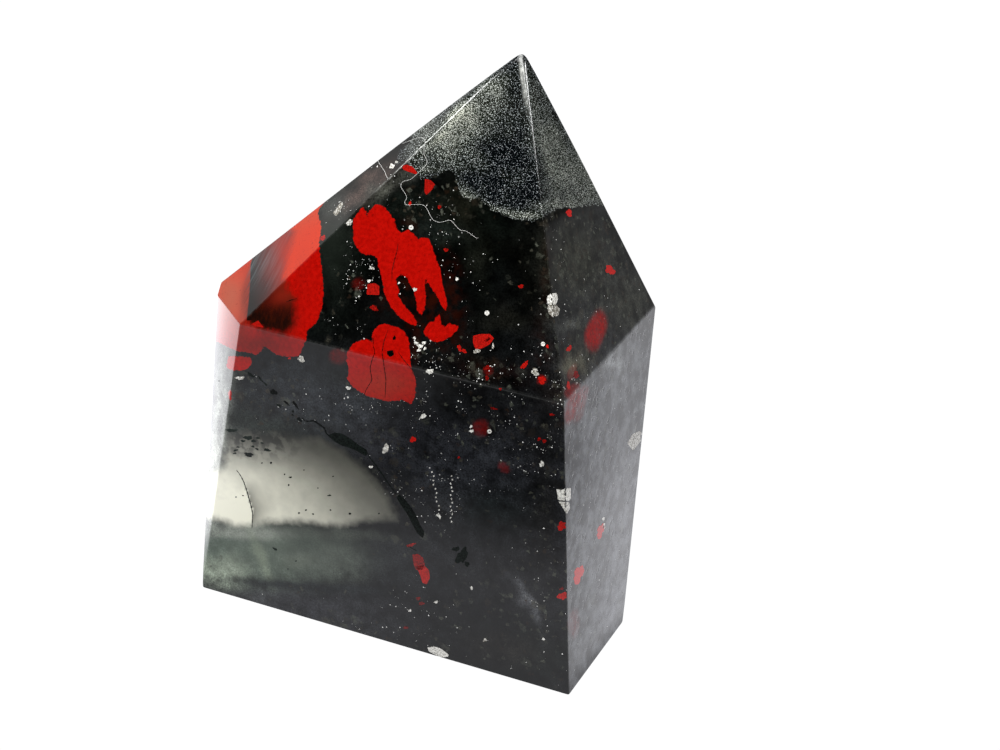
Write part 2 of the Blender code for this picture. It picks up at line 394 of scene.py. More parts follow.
stoneMarks = {
    # Millimetres behind the seen faces over which the markings give way to the invented pattern
    "fades": {"outlines": 3, "spots": 12, "clouds": 9},
    # Closed outlines in photo pixels
    "red": [
        [(336, 190), (319, 208), (318, 215), (320.4, 222), (321, 230), (319, 241), (319.4, 251), (321.4, 265),
         (323, 280), (323.5, 292), (322, 307), (319.4, 317), (315, 324.5), (308, 329.6), (306.6, 334),
         (306, 340), (302, 349), (300, 355), (295, 357), (288, 356.6), (277.6, 355), (271.4, 351),
         (263.3, 346), (261, 352), (257, 354.6), (246, 352), (235.7, 350.5), (220, 343), (205, 336),
         (205, 270), (240, 225)],
        [(234.6, 356), (251, 357.5), (252, 361), (251, 365), (244, 370.5), (233.5, 370.5), (226, 368),
         (228.5, 356.6)],
        [(353.3, 241), (353.3, 219.6), (361.4, 208.4), (364, 207.3), (367, 216.5), (370.6, 209.4),
         (375.7, 204.3), (382.9, 206.3), (389, 212.4), (394, 219.6), (397, 228.8), (401.2, 234),
         (405.3, 230.3), (409.4, 230.3), (413.5, 234), (418.6, 239), (423.7, 237), (428.8, 238.5),
         (431.3, 244), (436, 258.4), (441, 271.6), (442, 284), (446, 298), (447, 305), (446.6, 311.4),
         (442, 306), (437, 296), (430.8, 287), (425.7, 277.8), (424.7, 284), (425.7, 300), (424.7, 309.4),
         (420.6, 315.5), (417.6, 310.4), (415.5, 297), (412.4, 288), (406.3, 277.8), (401.2, 273.7),
         (396.6, 277.8), (397, 285), (399.2, 290), (398.2, 296), (402.2, 303), (409.4, 311.4),
         (415.5, 318.6), (417, 326.7), (411.4, 324.7), (401.2, 318.6), (391, 307.3), (385, 295),
         (383, 284), (380.8, 273.7), (377.8, 263.5), (377.8, 258.4), (373.7, 255.3), (365.5, 255.3),
         (359.4, 251.2)],
        [(439, 313.5), (433, 321.6), (427.8, 323.7), (423.7, 330.8), (425.7, 336), (431.8, 341), (439, 342),
         (447, 339), (454.3, 333), (459, 326.2), (453.3, 324.7), (449.2, 322.7), (445, 326.7),
         (441.5, 324.7), (440.5, 319.6)],
        [(347.2, 352), (354.6, 342.7), (365.7, 339), (372.2, 342.7), (373, 331.6), (380.5, 324.3),
         (389.7, 324.3), (402.7, 329.8), (408.2, 339), (410, 355.7), (411, 366.8), (415.6, 379.7),
         (415.6, 394.5), (411, 404.7), (402.7, 400), (386, 401), (367.5, 396.4), (352.8, 387),
         (347.2, 379.7), (349, 368.6), (346.8, 361)],
    ],
    "sugar": [(330, 20), (620, 20), (620, 204), (600, 205), (575, 207), (560, 208), (548, 213), (542, 218),
              (530, 221), (510, 218), (492, 210), (485, 203), (478, 197), (470, 200), (460, 195), (458, 185),
              (455, 172), (448, 170), (435, 175), (425, 182), (418, 175), (405, 160), (396, 166),
              (396, 160), (399, 150), (412, 140), (408, 128), (390, 120)],
    "cream": [(190, 478), (222, 466), (227, 430), (250, 430), (296, 433), (326, 436), (342, 448), (369, 471),
              (386, 491), (398, 514), (399, 521), (369, 522), (336, 528), (315, 525), (290, 523), (269, 524),
              (252, 528), (233, 527), (214, 520), (190, 516)],
    "flake": [(205, 470), (237, 470), (241, 475), (244, 482), (247, 491), (249.5, 500), (252, 508),
              (253, 515), (252, 528), (232, 525), (205, 519)],
    # Soft ellipses in photo pixels: x, y, half width, half height, degrees clockwise, strength
    "blush": [
        (596, 331, 10, 21, 10, 1.0), (571, 408, 5, 17, 14, 0.7), (583, 396, 5, 12, 20, 0.6),
        (574, 392, 10, 9, 0, 0.5), (578, 406, 6, 16, 14, 0.4), (574, 623, 6, 14, 8, 0.3),
        (481, 428, 8, 8, 0, 0.4), (504, 467, 7, 4, 25, 0.35), (338, 358, 9, 8, 0, 0.35),
        (542, 380, 5, 4.5, 0, 0.5), (488, 371, 5, 5, 0, 0.3), (359, 283, 6, 6, 0, 0.25),
        (572, 372, 4, 8, 15, 0.3),
    ],
    "rust": [
        (404, 286, 11, 16, -20, 0.8), (434, 300, 9, 24, -14, 1.0), (452, 308, 10, 26, -8, 0.75),
        (450, 278, 8, 26, -14, 0.6), (420, 325, 16, 9, 15, 0.8), (445, 345, 18, 7, -10, 0.6),
        (414, 352, 6, 26, 0, 0.55), (388, 300, 10, 14, -30, 0.5), (408, 226, 12, 8, 0, 0.4),
        (540, 350, 10, 26, 0, 0.3), (490, 370, 30, 10, 8, 0.3), (547, 262, 5, 40, 0, 0.3),
    ],
    "duskCrisp": [
        [(262, 240), (253, 255), (250, 264), (249.5, 284), (248, 302), (246, 321), (251, 321), (257, 318.5),
         (262, 321), (268, 326), (276, 328), (270, 310), (262, 290), (266, 262), (270, 240)],
    ],
    "duskSoft": [
        [(262, 232), (250, 256), (246, 284), (244, 324), (264, 334), (286, 338), (296, 326), (298, 310),
         (299, 297), (292, 290), (287, 276), (291, 258), (299, 230), (280, 222)],
    ],
    "smoke": [(286, 257, 17, 34, 8, 1.0), (284, 294, 13, 7, -20, 0.5), (264, 342, 14, 7, 0, 0.6)],
    "redPale": [(228, 300, 18, 34, 0, 1.0), (304, 216, 26, 13, -38, 0.4), (385, 384, 32, 16, 8, 0.35)],
    "redShade": [(245, 298, 6, 34, 3, 0.6), (264, 346, 36, 13, 8, 0.6), (290, 322, 8, 16, 0, 0.4),
                 (303, 275, 8, 30, 0, 0.1)],
    "milkRim": [(326, 436), (398, 514)],        # right-hand rim of the milky zone
    "duskGrain": [(281, 240), (250, 299)],      # the way the dark streaks run on the left crown facet
    "sugarPale": [
        (466, 124, 28, 18, -42, 0.6), (452, 120, 46, 7, -42, 0.75), (440, 150, 26, 14, -40, 0.4),
        (497, 92, 12, 18, 0, 0.42), (470, 160, 16, 12, 0, 0.28), (468, 197, 18, 7, 38, 0.55),
        (500, 120, 14, 14, 0, 0.15), (580, 176, 26, 52, -26, 0.44), (546, 140, 12, 70, -14, 0.38),
        (543, 206, 12, 10, 0, 0.3), (485, 108, 9, 9, 0, 0.1), (426, 130, 26, 12, -38, 0.3),
        (480, 208, 30, 5, 15, 0.5), (525, 217, 24, 5, 8, 0.5), (425, 172, 26, 6, 0, 0.4),
        (560, 205, 20, 6, 0, 0.4),
    ],
    "sparks": [
        (362, 285, 18, 44, 0, 0.8), (357, 238, 14, 26, 0, 0.5), (345, 212, 12, 12, 0, 0.9),
        (410, 222, 40, 12, 0, 0.5), (440, 260, 60, 40, 0, 0.16), (466, 285, 46, 36, 0, 0.16),
        (420, 342, 16, 12, 0, 0.9), (440, 365, 40, 16, 0, 0.9), (500, 385, 60, 18, 10, 0.85),
        (345, 320, 30, 18, 0, 0.5), (370, 405, 50, 14, 5, 0.9), (430, 405, 24, 22, 0, 0.8),
        (470, 415, 60, 30, 0, 0.5), (530, 420, 36, 50, 0, 0.6), (440, 500, 16, 34, 0, 0.8),
        (452, 480, 10, 34, 0, 0.7), (395, 180, 34, 14, 0, 0.4), (430, 205, 40, 16, 0, 0.3),
        (555, 280, 12, 60, 0, 0.4), (580, 380, 22, 30, 0, 0.8), (600, 350, 50, 60, 0, 0.15),
        (600, 500, 60, 160, 0, 0.1), (280, 400, 40, 16, 20, 0.4), (400, 480, 24, 24, 40, 0.5),
        (520, 480, 50, 30, 0, 0.35), (340, 640, 60, 20, 15, 0.3), (420, 620, 40, 30, 0, 0.3),
        (540, 600, 20, 60, 0, 0.25),
    ],
    "clasts": [
        (484, 370, 40, 14, 6, 0.42), (430, 355, 22, 14, 0, 0.4), (580, 362, 22, 24, 0, 1.0),
        (574, 390, 14, 20, 0, 0.9), (460, 192, 28, 14, 0, 0.8), (600, 270, 50, 60, 0, 0.8),
        (435, 205, 44, 16, 0, 0.5), (520, 300, 60, 50, 0, 0.06), (500, 420, 90, 40, 0, 0.25),
        (350, 325, 36, 36, 0, 0.1), (362, 290, 18, 40, 0, 0.3), (270, 400, 50, 26, 20, 0.4),
        (520, 600, 80, 60, 0, 0.25), (600, 500, 50, 180, 0, 0.45), (330, 630, 120, 26, 15, 0.3),
        (400, 480, 40, 60, 0, 0.3),
    ],
    # Painted highlights where the ridges' rounding catches the lamps, over their pale chipped edges
    "wear": [
        (466, 105, 28, 6, -42, 0.35), (398, 165, 40, 6, -41, 0.35), (566, 545, 6, 150, 0, 0.1),
    ],
    # Painted highlight down the ridge just below the tip
    "tipGlint": [(523.4, 80, 2.4, 24, -7.5, 1.0)],
    "calm": [(290, 548, 110, 36, 0, 1.0), (300, 480, 110, 50, 0, 0.8), (332, 240, 16, 56, 0, 0.9)],
    # Soft ellipses with a colour
    "clouds": [
        (440, 500, 170, 120, 12, 0.85, "#1a1b1d"), (600, 480, 60, 190, 0, 0.95, "#2c2d31"),
        (330, 232, 22, 56, 0, 0.9, "#1c211c"), (400, 205, 60, 16, 0, 0.4, "#151a16"),
        (440, 232, 30, 12, 0, 0.7, "#181e1b"), (362, 190, 36, 9, -40, 0.85, "#40332e"),
        (387, 189, 18, 6, -40, 0.85, "#50514a"), (404, 176, 12, 6, -40, 0.7, "#3c3e39"),
        (335, 210, 14, 12, -40, 0.6, "#3a3e3c"), (512, 323, 30, 11, 0, 0.6, "#1c1c17"),
        (545, 300, 7, 70, 0, 0.3, "#18120b"), (480, 260, 10, 28, 0, 0.4, "#1b1d17"),
        (440, 242, 8, 8, 0, 0.25, "#1c201a"), (462, 212, 14, 24, 0, 0.6, "#14140e"),
        (480, 361, 20, 7, 6, 0.3, "#1c1812"), (380, 386, 40, 13, 8, 0.8, "#2a2d30"),
        (580, 262, 34, 40, 0, 0.8, "#27281f"), (628, 304, 26, 30, 0, 0.75, "#2f3029"),
        (580, 345, 22, 30, 0, 0.7, "#1d1d18"), (350, 416, 24, 14, 0, 0.6, "#3b3e43"),
        (575, 365, 12, 12, 0, 0.9, "#4c4a3e"), (570, 324, 14, 6, -8, 0.6, "#4a4c48"),
        (560, 395, 14, 12, 0, 0.6, "#241c16"), (290, 385, 60, 30, 5, 0.9, "#23272a"),
        (335, 374, 12, 12, 0, 0.7, "#101412"), (325, 408, 50, 18, 10, 0.9, "#2c2f33"),
        (420, 430, 40, 26, 20, 0.5, "#202226"), (380, 445, 24, 18, 30, 0.6, "#35363b"),
        (430, 474, 20, 16, 0, 0.7, "#33353a"), (490, 510, 40, 24, 10, 0.8, "#0b1312"),
        (482, 462, 66, 34, 0, 0.75, "#26282c"), (548, 430, 20, 56, 0, 0.7, "#0a0a09"),
        (520, 560, 44, 34, 0, 0.6, "#18181a"), (440, 560, 60, 40, 0, 0.5, "#1e1f22"),
        (462, 560, 9, 8, 0, 0.9, "#07090c"), (545, 520, 14, 60, 0, 0.6, "#131210"),
        (300, 606, 110, 26, 12, 0.8, "#303135"), (336, 592, 60, 8, 5, 0.6, "#141618"),
        (527, 604, 4, 26, -28, 0.8, "#66686c"), (262, 598, 16, 6, 14, 0.6, "#4a4c4e"),
        (320, 650, 60, 14, 16, 0.5, "#181814"), (548, 655, 30, 26, 0, 0.7, "#101411"),
        (505, 648, 30, 12, 10, 0.5, "#262420"), (616, 364, 10, 10, 0, 0.9, "#8d9190"),
        (600, 392, 40, 20, -40, 0.4, "#323336"), (590, 432, 9, 18, 10, 0.7, "#45464b"),
        (614, 486, 7, 20, 8, 0.7, "#4c4d52"), (584, 552, 8, 20, 10, 0.6, "#45464b"),
        (607, 600, 8, 24, 10, 0.6, "#484950"), (606, 412, 7, 9, 0, 0.8, "#17181a"),
        (578, 500, 6, 18, 0, 0.7, "#1b1c1f"), (601, 545, 7, 16, 10, 0.7, "#1a1b1e"),
        (588, 612, 8, 16, 0, 0.7, "#17181a"), (628, 400, 6, 14, 10, 0.6, "#17181a"),
        (575, 405, 8, 10, 0, 0.7, "#151517"), (618, 545, 6, 22, 8, 0.6, "#4c4d52"),
        (222, 385, 9, 60, 4, 0.6, "#70756e"), (450, 505, 14, 10, 0, 0.5, "#3a3c40"),
        (215, 470, 10, 60, 4, 0.8, "#b9bdb2"), (218, 424, 8, 26, 0, 0.8, "#a9ada4"),
        (230, 400, 8, 14, 0, 0.4, "#3a3c3c"), (250, 428, 60, 16, 4, 0.7, "#2c332f"),
        (330, 434, 40, 12, 14, 0.5, "#303336"), (526, 285, 15, 62, -7, 0.85, "#030302"),
        (506, 380, 50, 11, 12, 0.75, "#050403"),
    ],
    # The green band at the foot, flat-topped ellipses with a colour
    "band": [
        (250, 553, 90, 31, 3, 1.0, "#5c675c"), (330, 560, 46, 18, 6, 0.8, "#565d55"),
        (222, 572, 26, 16, 8, 0.95, "#909b8a"), (246, 533, 42, 9, 2, 0.9, "#8b9187"),
        (306, 545, 14, 9, 0, 0.6, "#3c443d"), (260, 556, 5, 30, -22, 0.55, "#8e9985"),
        (340, 534, 50, 6, 3, 0.5, "#4e544c"), (215, 550, 12, 12, 0, 0.5, "#57655a"),
        (300, 586, 84, 5, 5, 0.9, "#1b1f21"), (390, 560, 30, 26, 0, 0.6, "#26292b"),
        (298, 561, 16, 7, 0, 0.5, "#6a7266"), (235, 541, 26, 4, 4, 0.5, "#46544b"),
    ],
    # Ellipsoids in millimetres that carry the pattern round to the faces the photo doesn't show
    "hiddenRed": [
        ((-33, 2, 38), (9, 7, 7)), ((-24, 14, 58), (8, 9, 9)), ((2, 24, 30), (11, 5, 8)),
        ((14, 20, 58), (6, 8, 9)), ((30, 12, 22), (6, 9, 6)), ((-18, 22, 14), (7, 6, 5)),
        ((22, 19, 12), (5, 6, 4)), ((24, 10, 66), (5, 6, 6)), ((-6, 20, 66), (4, 6, 5)),
        ((-34, -8, 8), (6, 5, 4)),
    ],
    "hiddenCream": [((-34, -6, 23), (12, 22, 9)), ((-20, 24, 24), (15, 9, 6))],
}


def lastingDistance(points, outlines, deepening=0.22):
    # Millimetres into the nearest outline, less a share of the depth behind the faces the photo shows, so a
    # patch that meets the stone's outline goes on round it and tapers off
    pixels, depth = photoPixels(points)
    inside = np.max([outlineDistance(pixels, outline) for outline in outlines], axis=0)
    return inside * depth / photoCamera["focalPixels"] - deepening * depthBehind(points)


def spotSum(points, spots, power=1.0, wobble=3):
    # Soft ellipses laid over each other, 1 - (1 - a)(1 - b)..., fading with depth, with rippled edges
    pixels, _ = photoPixels(points)
    wander = np.stack([ripple(points, 7, 3), ripple(points, 7, 4)], axis=-1) * wobble
    fade = np.exp(-depthBehind(points) / stoneMarks["fades"]["spots"])
    left = np.ones(len(points))
    for x, y, wide, high, turn, strength in spots:
        left *= 1 - strength * softSpot(pixels + wander, x, y, wide, high, turn, power) * fade
    return 1 - left


def facetShare(outward, name):
    # 1 where the surface looks along the facet's normal, down to 0 about 16 degrees away from it
    return np.clip((outward @ facetPlanes()[0][facetNumber(name)] - 0.96) / 0.025, 0, 1)


def edgeGap(points):
    # Millimetres below the second nearest facet, which is how near the closest ridge is
    normals, heights = facetPlanes()
    return -np.sort(points @ normals.T - heights, axis=1)[:, -2]


def ramp(values, low, high):
    # Smoothstep: 3 t t - 2 t t t, with t from 0 at low to 1 at high
    t = np.clip((values - low) / (high - low), 0, 1)
    return t * t * (3 - 2 * t)


def milkGlow(pixels, flake):
    # Paleness of the milky zone: it rises with the distance in from its right rim and fades out at its top.
    # The chipped flake is paler, and a painted shadow of its step darkens the milk beside it
    rim, rimEnd = (np.array(end, float) for end in stoneMarks["milkRim"])
    along = (rimEnd - rim) / np.linalg.norm(rimEnd - rim)
    inward = (pixels - rim) @ np.array([-along[1], along[0]])
    level = pixels[:, 1]
    glow = 0.065 + 0.05 * ramp(level, 440, 480) + 0.8 * ramp(inward, -4, 116) * ramp(level, 430, 486)
    # Painted shadow of the flake's step, fading over about two millimetres
    shade = np.where(flake < 0, np.exp(flake / 2.0), 0) * softSpot(pixels, 256, 506, 24, 24, 0, 2.0)
    chip = 0.62 + 0.44 * ramp(level, 466, 504)
    return np.where(flake > 0, np.maximum(glow, chip * ramp(level, 458, 474)), glow * (1 - 0.72 * shade))


def markValues(points, outward):
    # One number per vertex for each mineral; the shader turns them into edges, streaks and grains
    near = np.exp(-depthBehind(points) / stoneMarks["fades"]["outlines"])
    away = 1 - near
    hidden = lumpDistance(points, stoneMarks["hiddenRed"])
    hiddenCream = lumpDistance(points, stoneMarks["hiddenCream"])
    pixels, _ = photoPixels(points)
    flake = lastingDistance(points, [stoneMarks["flake"]], 2.0)
    onLeft, onRight = facetShare(outward, "crown left"), facetShare(outward, "right")
    return {
        "redEdge": np.maximum(lastingDistance(points, stoneMarks["red"]), hidden - 6 * near),
        "redPale": spotSum(points, stoneMarks["redPale"]) * near,
        "redShade": spotSum(points, stoneMarks["redShade"]) * near,
        "onCrownLeft": onLeft * near,
        "sugarEdge": lastingDistance(points, [stoneMarks["sugar"]], 0.5) + 0.5 * ripple(points, 5, 5) * away,
        "creamEdge": np.maximum(lastingDistance(points, [stoneMarks["cream"]], 0.3), hiddenCream - 8 * near),
        "creamTone": milkGlow(pixels, flake) * near + away * np.clip(0.15 + 0.14 * hiddenCream, 0.05, 0.75),
        "creamThin": ramp(pixels[:, 1], 468, 440) * (0.15 + 0.85 * ramp(pixels[:, 0], 306, 276)) * near,
        "blush": spotSum(points, stoneMarks["blush"], 4.0, 1.5),
        "rust": spotSum(points, stoneMarks["rust"]) + away * np.clip(0.6 + hidden / 3, 0, 0.6),
        "duskCrisp": lastingDistance(points, stoneMarks["duskCrisp"]),
        "duskPale": ramp(pixels[:, 1], 304, 256),
        "duskSoft": np.maximum(lastingDistance(points, stoneMarks["duskSoft"]),
                               1.5 * ripple(points, 8, 6) - 0.4 - 4 * near),
        "smoke": spotSum(points, stoneMarks["smoke"]) * near,
        "sugarTone": spotSum(points, stoneMarks["sugarPale"]) + away * 0.3,
        "sparkShare": np.maximum(spotSum(points, stoneMarks["sparks"]),
                                 away * np.clip(0.35 + 0.5 * ripple(points, 16, 7), 0.05, 0.8)),
        "clastShare": np.maximum(spotSum(points, stoneMarks["clasts"]),
                                 away * np.clip(0.3 + 0.6 * ripple(points, 19, 14), 0, 0.9)),
        "calm": spotSum(points, stoneMarks["calm"], 2.0),
        "pitShare": np.maximum(onRight, away * np.clip(0.2 + 0.8 * ripple(points, 24, 15), 0, 0.7)),
        # Pale chipped ridges, with painted highlights from the spots and below the tip
        "ridgeWearAndGlint": np.maximum(ramp(edgeGap(points), 0.14, 0.05)
                                * np.maximum(spotSum(points, stoneMarks["wear"], 2.0, 1), 0.02 + 0.15 * away),
                                spotSum(points, stoneMarks["tipGlint"], 1.5, 0)),
    }


def groundColours(points):
    # Colour per vertex: clouds of green, grey and brown in the dark body, then the clouds with a place.
    # Each is mixed in as c + share (new - c)
    def mixIn(colours, share, code):
        return colours + share[:, None] * (np.array(hexToLinear(code)) - colours)

    mix = bloodstoneFinish["ground"]
    pixels, _ = photoPixels(points)
    wander = np.stack([ripple(points, 6, 8), ripple(points, 6, 9)], axis=-1) * 4
    fade = np.exp(-depthBehind(points) / stoneMarks["fades"]["clouds"])
    away = 1 - 0.92 * fade
    colours = np.tile(hexToLinear(mix["body"]), (len(points), 1))
    for name, size, seed, strength in (("green", 17, 10, 1.0), ("grey", 13, 11, 1.0), ("brown", 11, 12, 0.8)):
        colours = mixIn(colours, np.clip(ripple(points, size, seed), 0, 1) * strength * away, mix[name])
    strip = np.exp(-((points[:, 2] - 11 - 2 * ripple(points, 21, 13)) / 5) ** 2) * (1 - fade)
    colours = mixIn(colours, strip * np.clip(-points[:, 0] / 25 + 0.3, 0, 0.9), mix["hiddenGreen"])
    for power, clouds in ((1.0, stoneMarks["clouds"]), (1.6, stoneMarks["band"])):
        for x, y, wide, high, turn, strength, code in clouds:
            share = strength * softSpot(pixels + wander * (2 - power), x, y, wide, high, turn, power) * fade
            colours = mixIn(colours, share, code)
    return colours


bloodstoneFinish = {
    "roughness": 0.04,
    "ior": 1.54,                    # chalcedony
    "sizes": {                      # feature sizes of the noises in millimetres
        "fog": 2.2,
        "grit": 0.26,
        "stain": 1.3,
        "clastGrain": 0.3,
        "veins": 5.0,
        "milkRim": 1.6,
        "milkClouds": 1.8,
        "jasperRim": 0.5,
        "jasperSpecks": 0.35,
        "sugarRim": 0.8,
        "sugarGrains": 0.125,       # lobes about 0.25 apart, as coarse as they need to show
        "sugarDrift": 3.0,
        "haze": 2.2,
        "chipsAndGlints": 0.9,
        "inlayGrain": 0.24,
    },
    "ground": {
        "body": "#020302",          # nearly black green
        "green": "#161d18",
        "grey": "#1f2124",
        "brown": "#17120c",
        "hiddenGreen": "#3f4c42",
    },
    "mottling": {"fog": (0.25, 1.8, 6.0), "grit": (0.45, 1.6, 2.0)},    # least and most factor, octaves
    # Clasts: cell size in millimetres, share of the cells that show, how solid they look
    "clasts": [(1.5, 0.34, 0.7), (0.62, 0.6, 1.0)],
    "clastColours": ("#2a1c12", "#565a50"),
    # Sparks: cell size in millimetres, share of the cells, least and most radius in cells
    "sparks": [(0.95, 0.25, 0.05, 0.16), (0.32, 0.5, 0.12, 0.36)],
    "spark": "#f6f6f2",
    "red": ("#9c0803", "#b20d06"),  # jasper, the iron red, and where the light gets into it
    "redLitLeftFacet": "#b42905",      # painted light: the left crown facet's red, made brighter and more orange
    "redPale": "#96412a",
    "redShade": "#341710",
    "redDark": "#5a0503",
    "rust": "#240a04",              # iron stain round the red
    "dusk": ("#050706", "#2a0d05", "#465153"),      # dark chalcedony of the left patch, its brown, its blue
    "smoke": "#8a2214",
    "cream": ("#0a0c0a", "#fbfae6"),        # milky chalcedony, from clear to dense
    "sugarDark": ("#040608", "#32372b"),    # between the open quartz grains, dark and pale zones
    "sugarLight": ("#b2babe", "#dfe2d0"),   # the grains themselves
    "streaks": (0.5, 7.0),          # width and length of the streaks in the jasper
    "pits": (0.8, 1.6, -0.64),      # width and length of the pits of the right face, lean in radians
    "haze": "#74777b",
    "pitFloor": "#060708",
    # Pale chipped ridges, also the colour of the painted ridge highlights
    "wear": "#d4d6d0",
    "bump": (0.25, 0.02),           # strength, and height in millimetres
}


def scaleOf(name):
    # Noise scale = 1 / feature size
    return 1 / (bloodstoneFinish["sizes"][name] * mm)


def mottledGround(tree, place, marks):
    # Painted clouds, broken up by fog and grit; calm places keep their tone
    ground = (addNode(tree, "Attribute", attribute_name="ground"), "Color")
    broken = 1.0
    for name, (least, most, octaves) in bloodstoneFinish["mottling"].items():
        noise = addNode(tree, "TexNoise", {"Vector": place, "Scale": scaleOf(name), "Detail": octaves,
                                           "Roughness": 0.6})
        noise = addNode(tree, "MapRange", {0: noise, 1: 0.3, 2: 0.7, 3: least, 4: most}, clamp=False)
        broken = addNode(tree, "Math", {0: noise, 1: broken}, **times)
    broken = addNode(tree, "Math", {0: broken, 1: 0.1}, operation="MAXIMUM")
    still = addNode(tree, "Math", {0: marks["calm"], 1: 0.75}, **times)
    broken = addNode(tree, "Mix", {0: still, 2: broken, 3: 1.0})
    ground = addNode(tree, "VectorMath", {0: ground, 3: broken}, operation="SCALE")
    # Iron stain that the jasper has bled into the ground
    patches = addNode(tree, "TexNoise", {"Vector": place, "Scale": scaleOf("stain"), "Detail": 5.0})
    stain = addNode(tree, "MapRange", {0: patches, 1: 0.35, 2: 0.6}, **smooth)
    stain = addNode(tree, "Math", {0: marks["rust"], 1: stain}, **times)
    return addNode(tree, "Mix", {0: stain, 6: ground, 7: bloodstoneFinish["rust"]}, **blend)


def bentPlace(tree, place, size, amount):
    # place + amount * (noise - 0.5), which makes round and straight cells ragged
    noise = addNode(tree, "TexNoise", {"Vector": place, "Scale": 1 / (size * mm), "Detail": 2.0})
    return addNode(tree, "VectorMath", {0: (noise, "Color"), 1: [amount * mm] * 3, 2: place}, **timesPlus)


def clastLayer(tree, place, marks, ground):
    # Clasts: broken grains of older rock packed in the dark matrix, brown or grey, dull at their rims
    finish = bloodstoneFinish
    grain = addNode(tree, "TexNoise", {"Vector": place, "Scale": scaleOf("clastGrain"), "Detail": 3.0})
    grain = addNode(tree, "MapRange", {0: grain, 1: 0.35, 2: 0.65, 3: 0.25, 4: 1.0})
    brown, grey = finish["clastColours"]
    for size, share, solid in finish["clasts"]:
        bent = bentPlace(tree, place, size * 0.45, size * 0.55)
        cells = addNode(tree, "TexVoronoi", {"Vector": bent, "Scale": 1 / (size * mm)})
        rims = addNode(tree, "TexVoronoi", {"Vector": bent, "Scale": 1 / (size * mm)},
                       feature="DISTANCE_TO_EDGE")
        chance = addNode(tree, "SeparateColor", {0: (cells, "Color")})
        limit = addNode(tree, "Math", {0: marks["clastShare"], 1: share}, **times)
        body = addNode(tree, "Math", {0: (chance, 0), 1: limit}, operation="LESS_THAN")
        rims = addNode(tree, "MapRange", {0: rims, 1: 0.0, 2: 0.2}, **smooth)
        for factor in (rims, grain, (chance, 1), solid):
            body = addNode(tree, "Math", {0: body, 1: factor}, **times)
        tone = addNode(tree, "Mix", {0: (chance, 2), 6: brown, 7: grey}, **blend)
        ground = addNode(tree, "Mix", {0: body, 6: ground, 7: tone}, **blend)
    return ground


def sparkLayer(tree, place, marks, ground):
    # Sparks: stray quartz grains, one in some of the cells. They crowd together along winding veins, which
    # run where a noise passes through its middle value
    veins = addNode(tree, "TexNoise", {"Vector": place, "Scale": scaleOf("veins"), "Detail": 3.0})
    veins = addNode(tree, "Math", {0: veins, 1: 0.5}, operation="SUBTRACT")
    veins = addNode(tree, "Math", {0: veins}, operation="ABSOLUTE")
    clusters = addNode(tree, "MapRange", {0: veins, 1: 0.0, 2: 0.075, 3: 2.4, 4: 0.05})
    for size, share, least, most in bloodstoneFinish["sparks"]:
        bent = bentPlace(tree, place, size * 0.3, size * 0.5)
        cells = addNode(tree, "TexVoronoi", {"Vector": bent, "Scale": 1 / (size * mm)})
        chance = addNode(tree, "SeparateColor", {0: (cells, "Color")})
        limit = addNode(tree, "Math", {0: marks["sparkShare"], 1: share}, **times)
        limit = addNode(tree, "Math", {0: limit, 1: clusters}, **times)
        chosen = addNode(tree, "Math", {0: (chance, 0), 1: limit}, operation="LESS_THAN")
        radius = addNode(tree, "Math", {0: (chance, 1), 1: 3.0}, operation="POWER")
        radius = addNode(tree, "Math", {0: radius, 1: most - least, 2: least}, **timesPlus)
        lit = addNode(tree, "Math", {0: (cells, "Distance"), 1: radius}, operation="LESS_THAN")
        bright = addNode(tree, "MapRange", {0: (chance, 2), 1: 0.0, 2: 1.0, 3: 0.05, 4: 1.0}, **smooth)
        for factor in (chosen, bright):
            lit = addNode(tree, "Math", {0: lit, 1: factor}, **times)
        ground = addNode(tree, "Mix", {0: lit, 6: ground, 7: bloodstoneFinish["spark"]}, **blend)
    return ground


def milkLayer(tree, place, marks, ground):
    # Milky chalcedony with a ragged rim, cloudy inside
    clear, dense = bloodstoneFinish["cream"]
    ragged = addNode(tree, "TexNoise", {"Vector": place, "Scale": scaleOf("milkRim"), "Detail": 5.0})
    rim = addNode(tree, "Math", {0: ragged, 1: 1.4, 2: marks["creamEdge"]}, **timesPlus)
    inside = addNode(tree, "MapRange", {0: rim, 1: 0.25, 2: 2.0}, **smooth)
    clouds = addNode(tree, "TexNoise", {"Vector": place, "Scale": scaleOf("milkClouds"), "Detail": 6.0})
    clouds = addNode(tree, "MapRange", {0: clouds, 1: 0.3, 2: 0.7, 3: 0.92, 4: 1.08})
    tone = addNode(tree, "Math", {0: marks["creamTone"], 1: clouds}, **times)
    # Dark green blotches where the milk thins out upwards
    blotches = addNode(tree, "MapRange", {0: ragged, 1: 0.42, 2: 0.56, 3: 0.35, 4: 1.2}, **smooth)
    blotches = addNode(tree, "Mix", {0: marks["creamThin"], 2: 1.0, 3: blotches})
    tone = addNode(tree, "Math", {0: tone, 1: blotches}, **times)
    milk = addNode(tree, "Mix", {0: tone, 6: clear, 7: dense}, **blend)
    return addNode(tree, "Mix", {0: inside, 6: ground, 7: milk}, **blend)


def leanOf(start, end):
    # Turn that takes +Z to the direction of a line on the stone: polar angle about Y, then bearing about Z
    near, far = throwOntoStone(np.array([start, end], float))[0]
    across, back, up = (near - far) / np.linalg.norm(near - far)
    return [0.0, math.acos(up), math.atan2(back, across)]


